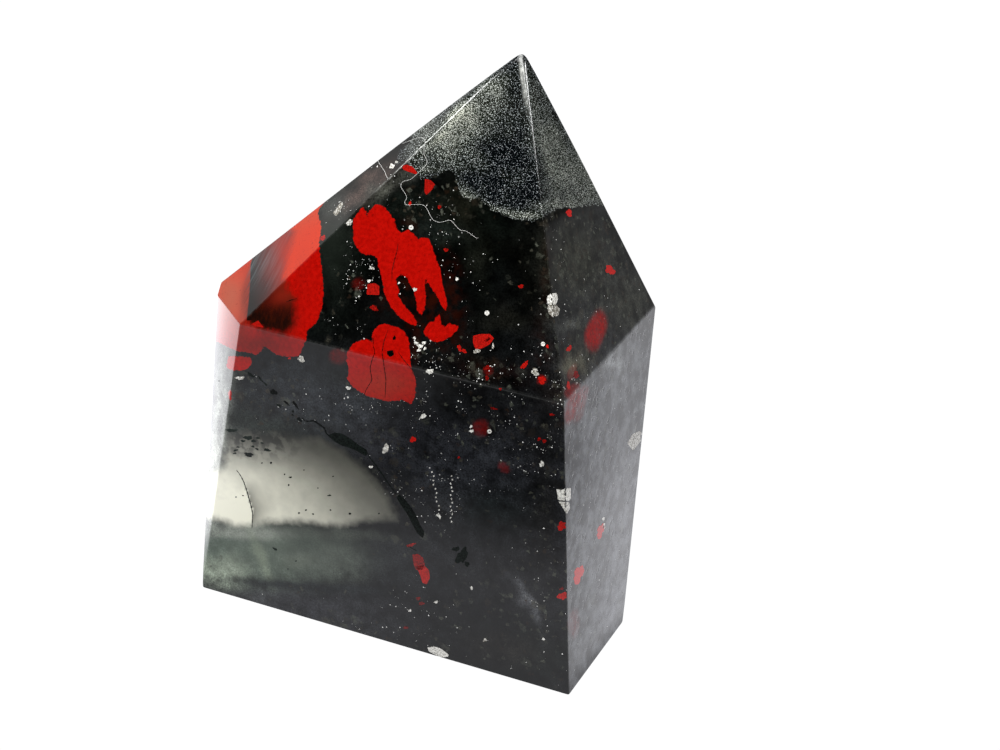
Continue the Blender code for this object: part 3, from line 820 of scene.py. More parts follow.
def jasperLayer(tree, place, marks, ground):
    # Jasper: sharp but slightly rough edges and long streaks. Dark chalcedony runs through the left patch,
    # blue where the left crown facet cuts along it and brown where the front one cuts across it
    finish = bloodstoneFinish
    wide, long = finish["streaks"]
    ragged = addNode(tree, "TexNoise", {"Vector": place, "Scale": scaleOf("jasperRim"), "Detail": 3.0})
    depth = addNode(tree, "Math", {0: ragged, 1: 0.55, 2: marks["redEdge"]}, **timesPlus)
    inside = addNode(tree, "MapRange", {0: depth, 1: 0.2, 2: 0.34}, **smooth)
    stretch = [wide * mm, wide * mm, long * mm]
    upright = addNode(tree, "Mapping", {"Vector": place, "Scale": stretch}, vector_type="TEXTURE")
    leaning = addNode(tree, "Mapping", {"Vector": place, "Scale": stretch,
                                        "Rotation": leanOf(*stoneMarks["duskGrain"])}, vector_type="TEXTURE")
    along = addNode(tree, "Mix", {0: marks["onCrownLeft"], 4: upright, 5: leaning}, data_type="VECTOR")
    streak = addNode(tree, "TexNoise", {"Vector": along, "Scale": 1.0, "Detail": 4.0})
    light = addNode(tree, "MapRange", {0: ragged, 1: 0.3, 2: 0.7}, **smooth)
    red = addNode(tree, "Mix", {0: light, 6: finish["red"][0], 7: finish["red"][1]}, **blend)
    # Painted light: the left crown facet gets a brighter, more orange red, as it catches more light
    red = addNode(tree, "Mix", {0: marks["onCrownLeft"], 6: red, 7: finish["redLitLeftFacet"]}, **blend)
    for name in ("redPale", "redShade"):
        red = addNode(tree, "Mix", {0: marks[name], 6: red, 7: finish[name]}, **blend)
    specks = addNode(tree, "TexNoise", {"Vector": place, "Scale": scaleOf("jasperSpecks"), "Detail": 2.0})
    specks = addNode(tree, "MapRange", {0: specks, 1: 0.62, 2: 0.74, 3: 0.0, 4: 0.5}, **smooth)
    red = addNode(tree, "Mix", {0: specks, 6: red, 7: finish["redDark"]}, **blend)
    soft = addNode(tree, "Math", {0: streak, 1: 1.6, 2: marks["duskSoft"]}, **timesPlus)
    dusk = addNode(tree, "Math", {0: addNode(tree, "MapRange", {0: soft, 1: 0.4, 2: 2.0}, **smooth),
                   1: addNode(tree, "MapRange", {0: marks["duskCrisp"], 1: -0.05, 2: 0.15}, **smooth)},
                   operation="MAXIMUM")
    _, brownDusk, blueDusk = finish["dusk"]
    tone = addNode(tree, "Mix", {0: marks["onCrownLeft"], 6: brownDusk, 7: blueDusk}, **blend)
    lines = addNode(tree, "MapRange", {0: streak, 1: 0.4, 2: 0.7, 3: 0.25, 4: 1.0}, **smooth)
    fading = addNode(tree, "Mix", {0: marks["onCrownLeft"], 2: 1.0, 3: marks["duskPale"]})
    lines = addNode(tree, "Math", {0: lines, 1: fading}, **times)
    tone = addNode(tree, "Mix", {0: lines, 6: finish["dusk"][0], 7: tone}, **blend)
    tone = addNode(tree, "Mix", {0: marks["smoke"], 6: tone, 7: finish["smoke"]}, **blend)
    red = addNode(tree, "Mix", {0: dusk, 6: red, 7: tone}, **blend)
    patchy = addNode(tree, "MapRange", {0: ragged, 1: 0.35, 2: 0.65, 3: 0.45, 4: 0.85})
    bleed = addNode(tree, "Math", {0: marks["blush"], 1: patchy}, **times)
    ground = addNode(tree, "Mix", {0: bleed, 6: ground, 7: finish["red"][0]}, **blend)
    return addNode(tree, "Mix", {0: inside, 6: ground, 7: red}, **blend)


def sugarLayer(tree, place, marks, ground):
    # Sugary quartz at the tip: pale and dark grains side by side. Also returns where the grains stand proud
    finish = bloodstoneFinish
    ragged = addNode(tree, "TexNoise", {"Vector": place, "Scale": scaleOf("sugarRim"), "Detail": 4.0})
    rim = addNode(tree, "Math", {0: ragged, 1: 1.1, 2: marks["sugarEdge"]}, **timesPlus)
    inside = addNode(tree, "MapRange", {0: rim, 1: 0.45, 2: 0.65}, **smooth)
    grains = addNode(tree, "TexNoise", {"Vector": place, "Scale": scaleOf("sugarGrains"), "Detail": 1.5})
    drift = addNode(tree, "TexNoise", {"Vector": place, "Scale": scaleOf("sugarDrift"), "Detail": 4.0})
    drift = addNode(tree, "MapRange", {0: drift, 1: 0.3, 2: 0.7, 3: -0.1, 4: 0.1})
    tone = addNode(tree, "Math", {0: marks["sugarTone"], 1: drift}, use_clamp=True, **plus)
    low = addNode(tree, "Mix", {0: tone, 6: finish["sugarDark"][0], 7: finish["sugarDark"][1]}, **blend)
    high = addNode(tree, "Mix", {0: tone, 6: finish["sugarLight"][0], 7: finish["sugarLight"][1]}, **blend)
    shown = addNode(tree, "Math", {0: tone, 1: -0.15, 2: 0.633}, **timesPlus)
    full = addNode(tree, "Math", {0: shown, 1: 0.06}, **plus)
    glint = addNode(tree, "MapRange", {0: grains, 1: shown, 2: full}, **smooth)
    sugar = addNode(tree, "Mix", {0: glint, 6: low, 7: high}, **blend)
    proud = addNode(tree, "Math", {0: grains, 1: inside}, **times)
    return addNode(tree, "Mix", {0: inside, 6: ground, 7: sugar}, **blend), proud


def wearAndGlintLayer(tree, place, marks, ground):
    # Pits: shallow leaning marks that the polish has not reached, most on the right face, under a patchy pale
    # haze. Ridges: pale chipped dashes, with painted highlights on some. Also returns where the pits are
    finish = bloodstoneFinish
    wide, long, lean = finish["pits"]
    leaning = addNode(tree, "Mapping", {"Vector": place, "Rotation": [lean, 0.0, 0.0],
                                        "Scale": [wide * mm, wide * mm, long * mm]}, vector_type="TEXTURE")
    bent = bentPlace(tree, leaning, 300, 600)
    marksInFace = addNode(tree, "TexNoise", {"Vector": bent, "Scale": 0.9, "Detail": 1.5, "Roughness": 0.55})
    pits = addNode(tree, "MapRange", {0: marksInFace, 1: 0.62, 2: 0.68}, **smooth)
    pits = addNode(tree, "Math", {0: pits, 1: marks["pitShare"]}, **times)
    haze = addNode(tree, "TexNoise", {"Vector": place, "Scale": scaleOf("haze"), "Detail": 6.0,
                                      "Roughness": 0.6})
    haze = addNode(tree, "MapRange", {0: haze, 1: 0.42, 2: 0.66, 3: 0.0, 4: 0.6})
    haze = addNode(tree, "Math", {0: haze, 1: marks["pitShare"]}, **times)
    ground = addNode(tree, "Mix", {0: haze, 6: ground, 7: finish["haze"]}, **blend)
    dark = addNode(tree, "Math", {0: pits, 1: 0.75}, **times)
    ground = addNode(tree, "Mix", {0: dark, 6: ground, 7: finish["pitFloor"]}, **blend)
    # Pale chipped dashes along the ridges, and painted highlights where the spots say so
    chipsAndGlints = addNode(tree, "TexNoise", {"Vector": place, "Scale": scaleOf("chipsAndGlints"), "Detail": 3.0})
    chipsAndGlints = addNode(tree, "MapRange", {0: chipsAndGlints, 1: 0.4, 2: 0.62, 3: 0.3, 4: 1.0}, **smooth)
    chipsAndGlints = addNode(tree, "Math", {0: chipsAndGlints, 1: marks["ridgeWearAndGlint"]}, **times)
    return addNode(tree, "Mix", {0: chipsAndGlints, 6: ground, 7: finish["wear"]}, **blend), pits


def makePolishedBloodstone(markNames):
    # Polished bloodstone: chalcedony ground flat and buffed. The eye gets near-black green depth with
    # clouds, opaque red jasper, sugary quartz that glitters, and a glassy film of reflection over all of it
    finish = bloodstoneFinish
    material, tree, shader = startMaterial("polishedBloodstone", {"Roughness": finish["roughness"],
                                                                  "IOR": finish["ior"]})
    place = (addNode(tree, "TexCoord"), "Object")
    marks = {name: (addNode(tree, "Attribute", attribute_name=name), "Fac") for name in markNames}
    colour = mottledGround(tree, place, marks)
    colour = clastLayer(tree, place, marks, colour)
    colour = sparkLayer(tree, place, marks, colour)
    colour = milkLayer(tree, place, marks, colour)
    colour = jasperLayer(tree, place, marks, colour)
    colour, proud = sugarLayer(tree, place, marks, colour)
    colour, pits = wearAndGlintLayer(tree, place, marks, colour)
    tree.links.new(colour.outputs[2], shader.inputs["Base Color"])
    # Buffing leaves the sugar slightly orange-peeled, which breaks its highlights into grains. The pits are
    # sunk three times as far as the grains stand proud
    height = addNode(tree, "Math", {0: pits, 1: -3.0, 2: proud}, **timesPlus)
    strength, deep = finish["bump"]
    bump = addNode(tree, "Bump", {"Height": height, "Strength": strength, "Distance": deep * mm})
    tree.links.new(bump.outputs[0], shader.inputs["Normal"])
    return material


def makeStone():
    # The rough grid brought onto the surface, with a number per vertex for every mineral
    centre, rows, tip = roughGrid()
    rough = np.concatenate([centre[None], rows.reshape(-1, 3), tip[None]])
    points, outward = ontoSurface(rough)
    mesh = bpy.data.meshes.new("polishedStone")
    mesh.from_pydata((points * mm).tolist(), [], gridFaces(rows.shape[0], rows.shape[1]))
    mesh.shade_smooth()
    mesh.normals_split_custom_set_from_vertices(domeSliver(points, outward).tolist())
    marks = markValues(points, outward)
    for name, values in marks.items():
        mesh.attributes.new(name, "FLOAT", "POINT").data.foreach_set("value", values)
    ground = mesh.attributes.new("ground", "FLOAT_COLOR", "POINT")
    ground.data.foreach_set("color", groundColours(points).ravel())
    stone = addObject("polishedStone", mesh)
    mesh.materials.append(makePolishedBloodstone(marks))
    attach(stone, "root")
    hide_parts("stone")
    print("stone ready:", len(mesh.polygons), "faces")


# Small grains, too fine for the stone's own mesh: thin patches that lie in its polished face

inlayBuild = {
    "lift": 0.012,                  # millimetres the patches stand above the stone's own mesh
    "around": 28,                   # points round a patch
    "rings": 3,
    "hollowAround": 16,             # points round a ring of crystals, and the shares of its radius
    "hollowShares": (0.2, 0.6, 1.0),
    "lineSpacing": 2,               # pixels between the places along a line
}

jasperSpecks = {
    "material": "buffedJasper",                 # opaque iron-red grains, as glossy as the stone
    "colours": ("#2c0605", "#c61a12"),          # a deep-lying speck and one that the cut opened
    "roughness": 0.05,
    "shine": 0.5,
    "patchy": 0.4,                              # how much a grain's tone changes inside it
    # Closed outlines in photo pixels, with how bright each one is
    "shapes": [
        (0.6, [(425, 179), (430.4, 180), (435, 184.4), (432.7, 189), (426.6, 195), (424.3, 192)]),
        (0.7, [(401.4, 166), (406.7, 164.5), (412.8, 166.8), (417.4, 173), (416, 174.4), (403.7, 170)]),
        (0.65, [(367.6, 284), (374.7, 283), (379.3, 286), (379.3, 295), (366.5, 294.6)]),
        (0.7, [(473, 336), (480, 334), (490, 334), (494, 338), (490, 344), (483, 348), (475.7, 349.7),
               (473, 343)]),
        (0.4, [(412.4, 554.6), (418.2, 553.8), (423.2, 558), (424.9, 564.6), (422, 570), (415.8, 570),
               (413.3, 563)]),
        (0.75, [(416, 566), (424, 565), (429, 570.4), (429.9, 577.8), (426.5, 584.5), (422.4, 582.8),
                (420.7, 576.2)]),
        (0.7, [(251, 324.5), (258, 320.4), (264, 327.6), (257, 326.5)]),
    ],
    # Round ones: x, y, half width, half height, degrees turned, how bright
    "round": [
        (374, 308, 4, 2.5, 10, 0.45), (410, 203.5, 1.2, 2.2, 0, 1.0), (439.5, 207, 1.9, 1.6, 0, 0.45),
        (446, 250, 2, 2, 0, 0.5), (459.5, 348, 2, 3, -20, 0.8), (464, 351, 2.6, 1.8, 20, 0.7),
        (524.5, 365, 2.2, 4.6, 35, 0.7), (542, 380, 4.2, 3.4, 0, 0.7), (487, 368, 3.6, 2.4, 0, 0.3),
        (547.4, 346.4, 1.4, 1.6, 0, 1.0), (569, 213, 3.2, 3.2, 20, 0.95), (610, 270, 4.2, 4.8, -30, 0.85),
        (569, 348.5, 2.2, 3.2, 25, 0.7), (568.4, 385.6, 1.8, 4, 0, 0.7), (576, 375, 2.6, 4, 25, 0.3),
        (600.5, 531, 3.4, 7, 22, 0.9), (578.5, 574.5, 4.8, 8.4, 22, 1.0), (562, 526, 4.6, 4, 0, 0.7),
        (562.5, 596, 4.6, 3.8, 0, 0.8), (561.7, 588.6, 2, 1.4, 0, 0.3), (413, 439.5, 3.2, 2.6, 15, 0.9),
        (411, 545, 5.6, 1.2, -16, 0.45), (230, 395, 1.8, 4.4, 0, 0.8), (521, 286.3, 3, 1.6, -18, 0.6),
        (500.3, 389, 1.6, 1.1, 0, 0.5), (539.3, 439, 2, 1.6, 0, 0.45), (544.3, 441, 2.2, 1.6, 0, 0.5),
        (551.7, 414.7, 2.4, 1.2, 0, 0.5), (493.7, 408.5, 3.4, 1.2, 10, 0.25),
        (458.9, 457.4, 1.2, 1, 0, 0.6), (289.6, 358.2, 1.4, 1, 0, 0.8), (322.8, 238, 2.4, 3, 20, 0.5),
        (418.2, 598.6, 1.8, 1.8, 0, 0.3), (421.6, 603.5, 2.8, 1.6, -20, 0.3),
        (405.8, 627.6, 2.8, 1.4, 10, 0.25), (487, 378, 1.6, 2.6, 0, 0.3),
    ],
}

quartzGrains = {
    "material": "openQuartz",                   # white crystals that line small hollows, so less glossy
    "colours": ("#6a655a", "#f0efe8"),          # iron-stained and clean grains
    "roughness": 0.25,
    "shine": 0.5,
    "patchy": 1.0,
    "shapes": [
        (0.85, [(547.5, 296), (551, 293.5), (556.5, 293), (558, 299), (556, 304.5), (549, 305),
                (546.8, 301)]),
        (0.35, [(548, 305.2), (556, 304.8), (560, 309), (558.5, 315.5), (553, 317), (549, 314),
                (547.4, 308)]),
        (0.9, [(556.5, 489), (562, 490), (565, 488.5), (570.6, 488), (570.8, 498), (569, 501), (558, 500)]),
        (0.7, [(558.5, 501.5), (569, 502), (570, 508), (566.7, 514), (563, 508)]),
        (0.95, [(427.4, 647.5), (434, 646.3), (440.6, 648.3), (448.1, 654.1), (448.9, 656.1), (444.8, 657.4),
                (439, 657.1), (434, 654.1), (429, 651.6)]),
        (0.4, [(627.2, 443.3), (632.2, 434.2), (639.6, 430.9), (643, 434.2), (642.1, 439.2), (633, 450.8)]),
        (0.75, [(389, 168), (391, 163), (395, 165.5), (393, 168.5)]),
        (0.25, [(333, 213), (341, 202), (343.5, 204), (339, 213), (336, 216)]),
        (0.5, [(346, 223), (350, 219), (353, 220), (351, 225), (347, 225.5)]),
    ],
    "round": [
        (385.7, 448.6, 3, 4.6, 10, 0.6), (423, 416.3, 3.8, 1.8, -40, 1.0), (429.8, 371.5, 3.2, 2.8, 0, 0.9),
        (348.4, 388, 2.2, 1.8, 20, 1.0), (301.2, 359, 3.4, 3, 0, 0.6), (239.8, 378, 4, 1.8, 0, 0.8),
        (438.8, 515.8, 2.6, 1.3, 45, 1.0), (370.8, 466.9, 1.8, 1.4, 0, 1.0), (477, 351, 3.6, 2, 0, 0.35),
        (535, 372, 3.6, 3.6, 0, 0.3), (541.8, 464, 2.2, 2.8, -20, 0.95), (416, 343, 1.8, 1.5, 0, 0.9),
        (420, 346, 2.8, 2.2, 20, 0.95), (424, 343, 1.6, 2, 0, 0.9), (419, 350, 2, 1.6, 0, 0.85),
        (425, 348.5, 1.5, 1.4, 0, 0.9), (414.5, 338, 1.6, 1.2, 0, 0.8), (471, 426.5, 1.4, 1.4, 0, 1.0),
        (471.5, 431, 2, 1.6, 0, 1.0), (493, 346, 1, 3, 10, 0.3), (372, 268, 3, 1.2, 30, 0.6),
        (414.8, 289.5, 1.8, 2, 0, 0.95), (399, 283, 1.2, 1, 0, 1.0), (457, 279, 1.8, 1.4, 40, 0.95),
        (369, 281, 2, 1.4, 0, 0.9), (396.5, 162, 1.5, 1, 0, 0.7), (485, 640, 1.8, 1.6, 0, 0.35),
        (543.5, 639, 1.5, 1.3, 0, 1.0), (471.5, 588, 1.3, 1.5, 0, 1.0), (436, 602, 1.6, 1.4, 0, 1.0),
        (410, 610.5, 1.4, 1.4, 0, 1.0), (603.5, 519, 1, 2, 10, 0.9), (604, 526, 1.2, 2.6, 10, 1.0),
    ]
    # Two dotted seams down the front face
    + [(451.5 + math.sin(2.1 * i), 476 + 3.8 * i, 0.7, 0.9, 0, 0.9) for i in range(13)]
    + [(432 + 0.75 * i + math.sin(1.7 * i), 472 + 4.2 * i, 0.8, 0.8, 0, 0.8) for i in range(12)],
    # Rings round a hollow: x, y, radius
    "rings": [(411, 227.5, 2.4), (489.4, 431.4, 2.2), (487, 313, 2.4), (543, 344, 2.2)],
}

darkSeams = {
    "material": "filledCrack",                  # cracks and pits filled with black-green dirt and mineral
    "colours": ("#020403", "#1f2824"),          # open crack and mineral-filled crack
    "roughness": 0.15,
    "shine": 0.15,
    "patchy": 0.5,
    "shapes": [
        (0.4, [(328.5, 434.9), (334.3, 432.5), (341, 433.2), (349.3, 437.8), (359.2, 445.3), (366.7, 449.5),
               (367.5, 454.4), (365.8, 456.1), (357.5, 451.1), (349.3, 447.8), (341, 445.3), (332.7, 440.3)]),
        (0.3, [(399, 494.2), (405.6, 500), (411.4, 507.5), (415.6, 514.1), (419.7, 524.1), (424.7, 532.4),
               (423, 538.2), (417.2, 533.2), (412.3, 524.1), (407.3, 514.1), (399.8, 503.4), (396.5, 497.5)]),
        (0.0, [(387, 351), (393, 350), (394, 355), (390, 357), (387, 354)]),
        (0.0, [(484, 341), (489, 337), (491, 339), (487, 342)]),
    ],
    "round": [
        (462, 556, 5, 8, 20, 0.4), (456, 549, 3.4, 2.4, 0, 0.4), (467, 564, 3, 2, 30, 0.4),
        (394.4, 338, 1.4, 2.2, 0, 0.0), (251, 375, 3.8, 1.5, 32, 0.5), (260.5, 379, 3.4, 1, 50, 0.5),
        (265.5, 384, 2.4, 0.9, 50, 0.5), (273.8, 392.2, 4.2, 2.2, 32, 0.1), (286.5, 403, 3.6, 1.1, 35, 0.2),
        (295.4, 404.7, 4.6, 1.3, 52, 0.1), (278.8, 405.5, 3.2, 1.1, 30, 0.5),
        (299.5, 419.6, 3.4, 1.3, 45, 0.3), (292.9, 411.3, 1.4, 1.1, 0, 0.4), (292.5, 415, 1.2, 0.9, 0, 0.4),
        (248, 437.8, 4, 2.2, 10, 0.9), (253.5, 441, 2.4, 1.4, -10, 0.8), (243, 441, 2, 1.2, 0, 0.9),
        (258, 438, 2, 1, 0, 0.9), (253, 446.5, 1.8, 1, 0, 0.8), (262, 443, 1.6, 0.9, 0, 0.9),
        (267.2, 450, 3.4, 1.5, 5, 0.8), (248.9, 454.6, 5.2, 1.9, 8, 0.5),
        (235.7, 450.3, 2.8, 0.9, -10, 0.8), (234.8, 453.3, 1.8, 0.8, 0, 0.7), (238, 447, 1.6, 0.8, 0, 0.8),
        (231.5, 430.4, 5, 1.8, 0, 0.95), (257, 449, 2, 0.9, 20, 0.8), (271, 462.7, 1.3, 1, 0, 0.2),
        (284.6, 474.3, 0.8, 0.7, 0, 0.2), (290.4, 477.3, 1.4, 0.9, 0, 0.2), (288.7, 485, 0.9, 0.9, 0, 0.2),
        (329.4, 495.4, 2, 0.7, 0, 0.5), (350, 513.6, 1.5, 0.9, 10, 0.2), (333.2, 476.3, 0.8, 0.6, 0, 0.3),
        (330.5, 510, 0.8, 0.7, 0, 0.3), (243, 495.5, 0.9, 0.6, 0, 0.2), (236, 497, 0.7, 0.6, 0, 0.3),
        (306, 510, 1, 0.8, 0, 0.4), (299, 513, 1.2, 0.8, 0, 0.5), (313, 514, 1.2, 0.7, 0, 0.5),
        (379, 513.5, 0.9, 0.7, 0, 0.3), (318, 488, 0.7, 0.6, 0, 0.5), (275, 549, 2.4, 1.2, 35, 0.7),
        (296, 561, 0.9, 0.7, 0, 0.4), (288, 569, 0.8, 0.6, 0, 0.4), (219, 381, 0.9, 0.6, 0, 0.6),
        (262, 463, 0.8, 0.7, 0, 0.4), (304, 470, 0.7, 0.6, 0, 0.5),
    ],
    # Lines: width in pixels, how pale, then the points
    "lines": [
        (2.0, 0.2, [(302, 418), (306.1, 421.3), (314.4, 420.8), (319.4, 424.6), (324.4, 427.9), (326, 432.9),
                    (331, 437.8)]),
        (1.4, 0.4, [(367, 452), (370, 458), (374.1, 462.7), (379.9, 471), (384, 477), (391, 487),
                    (397, 495)]),
        (1.3, 0.3, [(236.5, 470), (240, 474.5), (243.5, 481), (246.6, 490), (249.4, 500), (251.6, 508),
                    (252.8, 515), (252, 528)]),
        (0.9, 0.0, [(374, 337), (373, 345), (375, 352), (372, 360), (370, 368), (372, 380), (366, 390),
                    (364, 396)]),
        (0.9, 0.2, [(388, 330), (384, 341), (382, 352), (384, 366), (386, 380), (385, 398)]),
        (0.8, 0.2, [(398, 352), (403, 359), (408, 365), (413, 371)]),
        (0.8, 0.1, [(286, 302), (291, 300), (297, 298.5)]),
        (0.8, 0.3, [(398, 243), (397, 251), (394, 262), (392, 271), (392, 280)]),
        (0.7, 0.3, [(406, 545), (417, 551)]),
    ],
}


def blobOutline(x, y, wide, high, turn, count):
    # Irregular grain, stretched and turned: r(a) = 1 + 0.16 sin(2a + p) + 0.14 sin(3a + 2p)
    # + 0.1 sin(5a + 3p) + 0.08 sin(8a + 4p)
    a = np.linspace(0, math.tau, count, endpoint=False)
    p = x * 1.7 + y * 2.3
    radius = (1 + 0.16 * np.sin(2 * a + p) + 0.14 * np.sin(3 * a + 2 * p) + 0.1 * np.sin(5 * a + 3 * p)
              + 0.08 * np.sin(8 * a + 4 * p))
    across, down = radius * np.cos(a) * wide, radius * np.sin(a) * high
    angle = math.radians(turn)
    return np.stack([x + across * math.cos(angle) - down * math.sin(angle),
                     y + across * math.sin(angle) + down * math.cos(angle)], axis=-1)


def alongPath(points, spacing=None, count=None):
    # Places along straight stretches and their distances from the start: about spacing apart on an open
    # line, or count of them round a closed outline
    ends = np.array(points + points[:1] if count else points, dtype=float)
    length = np.concatenate([[0], np.cumsum(np.linalg.norm(np.diff(ends, axis=0), axis=1))])
    steps = np.linspace(0, length[-1], count or max(4, int(length[-1] / spacing)), endpoint=not count)
    return np.stack([np.interp(steps, length, ends[:, i]) for i in (0, 1)], axis=-1), steps


def discPatch(outline):
    # Rings between the middle and the outline, p = m + r (o - m), closed by a fan
    around, rings = len(outline), inlayBuild["rings"]
    middle = outline.mean(axis=0)
    share = np.arange(1, rings + 1)[:, None, None] / rings
    pixels = np.concatenate([middle[None], (middle + share * (outline - middle)).reshape(-1, 2)])
    return pixels, gridFaces(rings, around, topPole=False)


def ringPatch(x, y, radius):
    # Flat ring round a hollow: m + s r (cos a, sin a) for every share s
    around, shares = inlayBuild["hollowAround"], inlayBuild["hollowShares"]
    a = np.linspace(0, math.tau, around, endpoint=False)
    unit = np.stack([np.cos(a), np.sin(a)], axis=-1)
    pixels = np.concatenate([[x, y] + unit * radius * share for share in shares])
    return pixels, ringQuads(np.arange(len(pixels)).reshape(len(shares), around))


def linePatch(points, width):
    # Strip along a line: q = p +- w(t) / 2 across it, with w thinning to nothing at both ends
    line, steps = alongPath(points, spacing=inlayBuild["lineSpacing"])
    along = np.gradient(line, axis=0)
    along /= np.linalg.norm(along, axis=1, keepdims=True)
    across = np.stack([-along[:, 1], along[:, 0]], axis=-1)
    thin = np.sin(math.pi * np.linspace(0.06, 0.94, len(line))) ** 0.5 * (0.8 + 0.3 * np.sin(steps * 1.3))
    half = (across * thin[:, None]) * width / 2
    count = len(line)
    near = np.arange(count - 1)
    faces = np.stack([near, near + 1, near + 1 + count, near + count], axis=-1)
    return np.concatenate([line - half, line + half]), faces.tolist()


def makeGrainMaterial(grains):
    # Grains cut and buffed with the stone. The eye gets small glossy islands, each with its own brightness,
    # by share + patchy * (a noise between -0.7 and 0.4)
    material, tree, shader = startMaterial(grains["material"], {
        "Roughness": grains["roughness"],
        "IOR": bloodstoneFinish["ior"],
        "Specular IOR Level": grains["shine"],
    })
    place = (addNode(tree, "TexCoord"), "Object")
    grain = addNode(tree, "TexNoise", {"Vector": place, "Scale": scaleOf("inlayGrain"), "Detail": 3.0})
    share = addNode(tree, "Attribute", attribute_name="share")
    rough = addNode(tree, "MapRange", {0: grain, 1: 0.35, 2: 0.65, 3: -0.7 * grains["patchy"],
                                       4: 0.4 * grains["patchy"]})
    mixed = addNode(tree, "Math", {0: rough, 1: (share, "Fac")}, use_clamp=True, **plus)
    colour = addNode(tree, "Mix", {0: mixed, 6: grains["colours"][0], 7: grains["colours"][1]}, **blend)
    tree.links.new(colour.outputs[2], shader.inputs["Base Color"])
    return material


def makeInlay(name, grains):
    # All patches in one mesh, thrown onto the stone and lifted along its normal: p = q + lift n. Their
    # attribute share says how bright each one is
    points, faces, shares, start = [], [], [], 0
    around = inlayBuild["around"]
    patches = [(discPatch(alongPath(outline, count=around)[0]), share) for share, outline in grains["shapes"]]
    patches += [(discPatch(blobOutline(*spot[:5], around)), spot[5]) for spot in grains["round"]]
    patches += [(ringPatch(*ring), 1.0) for ring in grains.get("rings", [])]
    patches += [(linePatch(line, width), share) for width, share, line in grains.get("lines", [])]
    for (pixels, patchFaces), share in patches:
        place, outward = throwOntoStone(pixels)
        points.append(place + outward * inlayBuild["lift"])
        # Pixel rows count downwards, so a patch whose first face has a positive area looks inwards
        along, across = pixels[patchFaces[0][1:3]] - pixels[patchFaces[0][0]]
        order = -1 if along[0] * across[1] > along[1] * across[0] else 1
        faces += [[start + i for i in face[::order]] for face in patchFaces]
        shares.append(np.full(len(pixels), share))
        start += len(pixels)
    mesh = bpy.data.meshes.new(name)
    mesh.from_pydata((np.concatenate(points) * mm).tolist(), [], faces)
    mesh.shade_smooth()
    mesh.attributes.new("share", "FLOAT", "POINT").data.foreach_set("value", np.concatenate(shares))
    mesh.materials.append(makeGrainMaterial(grains))
    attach(addObject(name, mesh), "root")
    print(name, "ready:", len(patches), "grains")


lintFibre = {
    "radius": 0.021,                # millimetres, as coarse as it needs to show
    "sides": 6,
    "spacing": 1.5,                 # pixels between the places along it
    "rounding": 3,                  # how often its corners are averaged away
    "resting": 0.6,                 # share of its radius that it stands above the polish
    "colour": "#e2e2de",
    # Photo pixels along the fibre
    "path": [(378, 161), (382, 168), (385, 171), (386, 176), (388, 178.5)],
    "pathFront": [(402, 143.5), (407, 142), (412, 140), (418, 137.6), (423, 137.2), (425.5, 140), (424, 148),
                  (424, 156), (427, 159), (427.5, 163), (424, 167.5), (420, 171), (415, 176), (410, 180),
                  (403, 181), (400.5, 184), (400.5, 187), (405, 193), (407.5, 198), (404, 202), (404, 204),
                  (406, 205.5), (412, 204.5), (423, 204.5), (427, 208), (429, 213), (432, 219), (436, 222),
                  (441, 222.5), (450.5, 219.5), (456, 226), (460, 230.5), (465.5, 230.5), (470, 233.5),
                  (477, 238.5)],
}


def makeLintFibre():
    # A white lint fibre lying on the polish, matt against its gloss: a tube, p = c + r (cos a n + sin a b)
    material, _, _ = startMaterial("cottonLint", {"Base Color": lintFibre["colour"], "Roughness": 0.7})
    points, faces, start = [], [], 0
    radius, sides = lintFibre["radius"], lintFibre["sides"]
    turn = np.linspace(0, math.tau, sides, endpoint=False)[None, :, None]
    for key in ("path", "pathFront"):
        line, _ = alongPath(lintFibre[key], spacing=lintFibre["spacing"])
        for _ in range(lintFibre["rounding"]):
            line[1:-1] = (line[:-2] + 2 * line[1:-1] + line[2:]) / 4
        place, outward = throwOntoStone(line)
        centre = place + outward * radius * lintFibre["resting"]
        along = np.gradient(centre, axis=0)
        along /= np.linalg.norm(along, axis=1, keepdims=True)
        side = np.cross(along, outward)
        side /= np.linalg.norm(side, axis=1, keepdims=True)
        upwards = np.cross(side, along)
        tube = centre[:, None] + radius * (np.cos(turn) * upwards[:, None] + np.sin(turn) * side[:, None])
        index = start + np.arange(len(line) * sides).reshape(-1, sides)
        faces += ringQuads(index) + [index[0][::-1].tolist(), index[-1].tolist()]
        points.append(tube.reshape(-1, 3))
        start += len(line) * sides
    mesh = bpy.data.meshes.new("lintFibre")
    mesh.from_pydata((np.concatenate(points) * mm).tolist(), [], faces)
    mesh.shade_smooth()
    mesh.materials.append(material)
    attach(addObject("lintFibre", mesh), "root")
    print("lint fibre ready")


# Studio

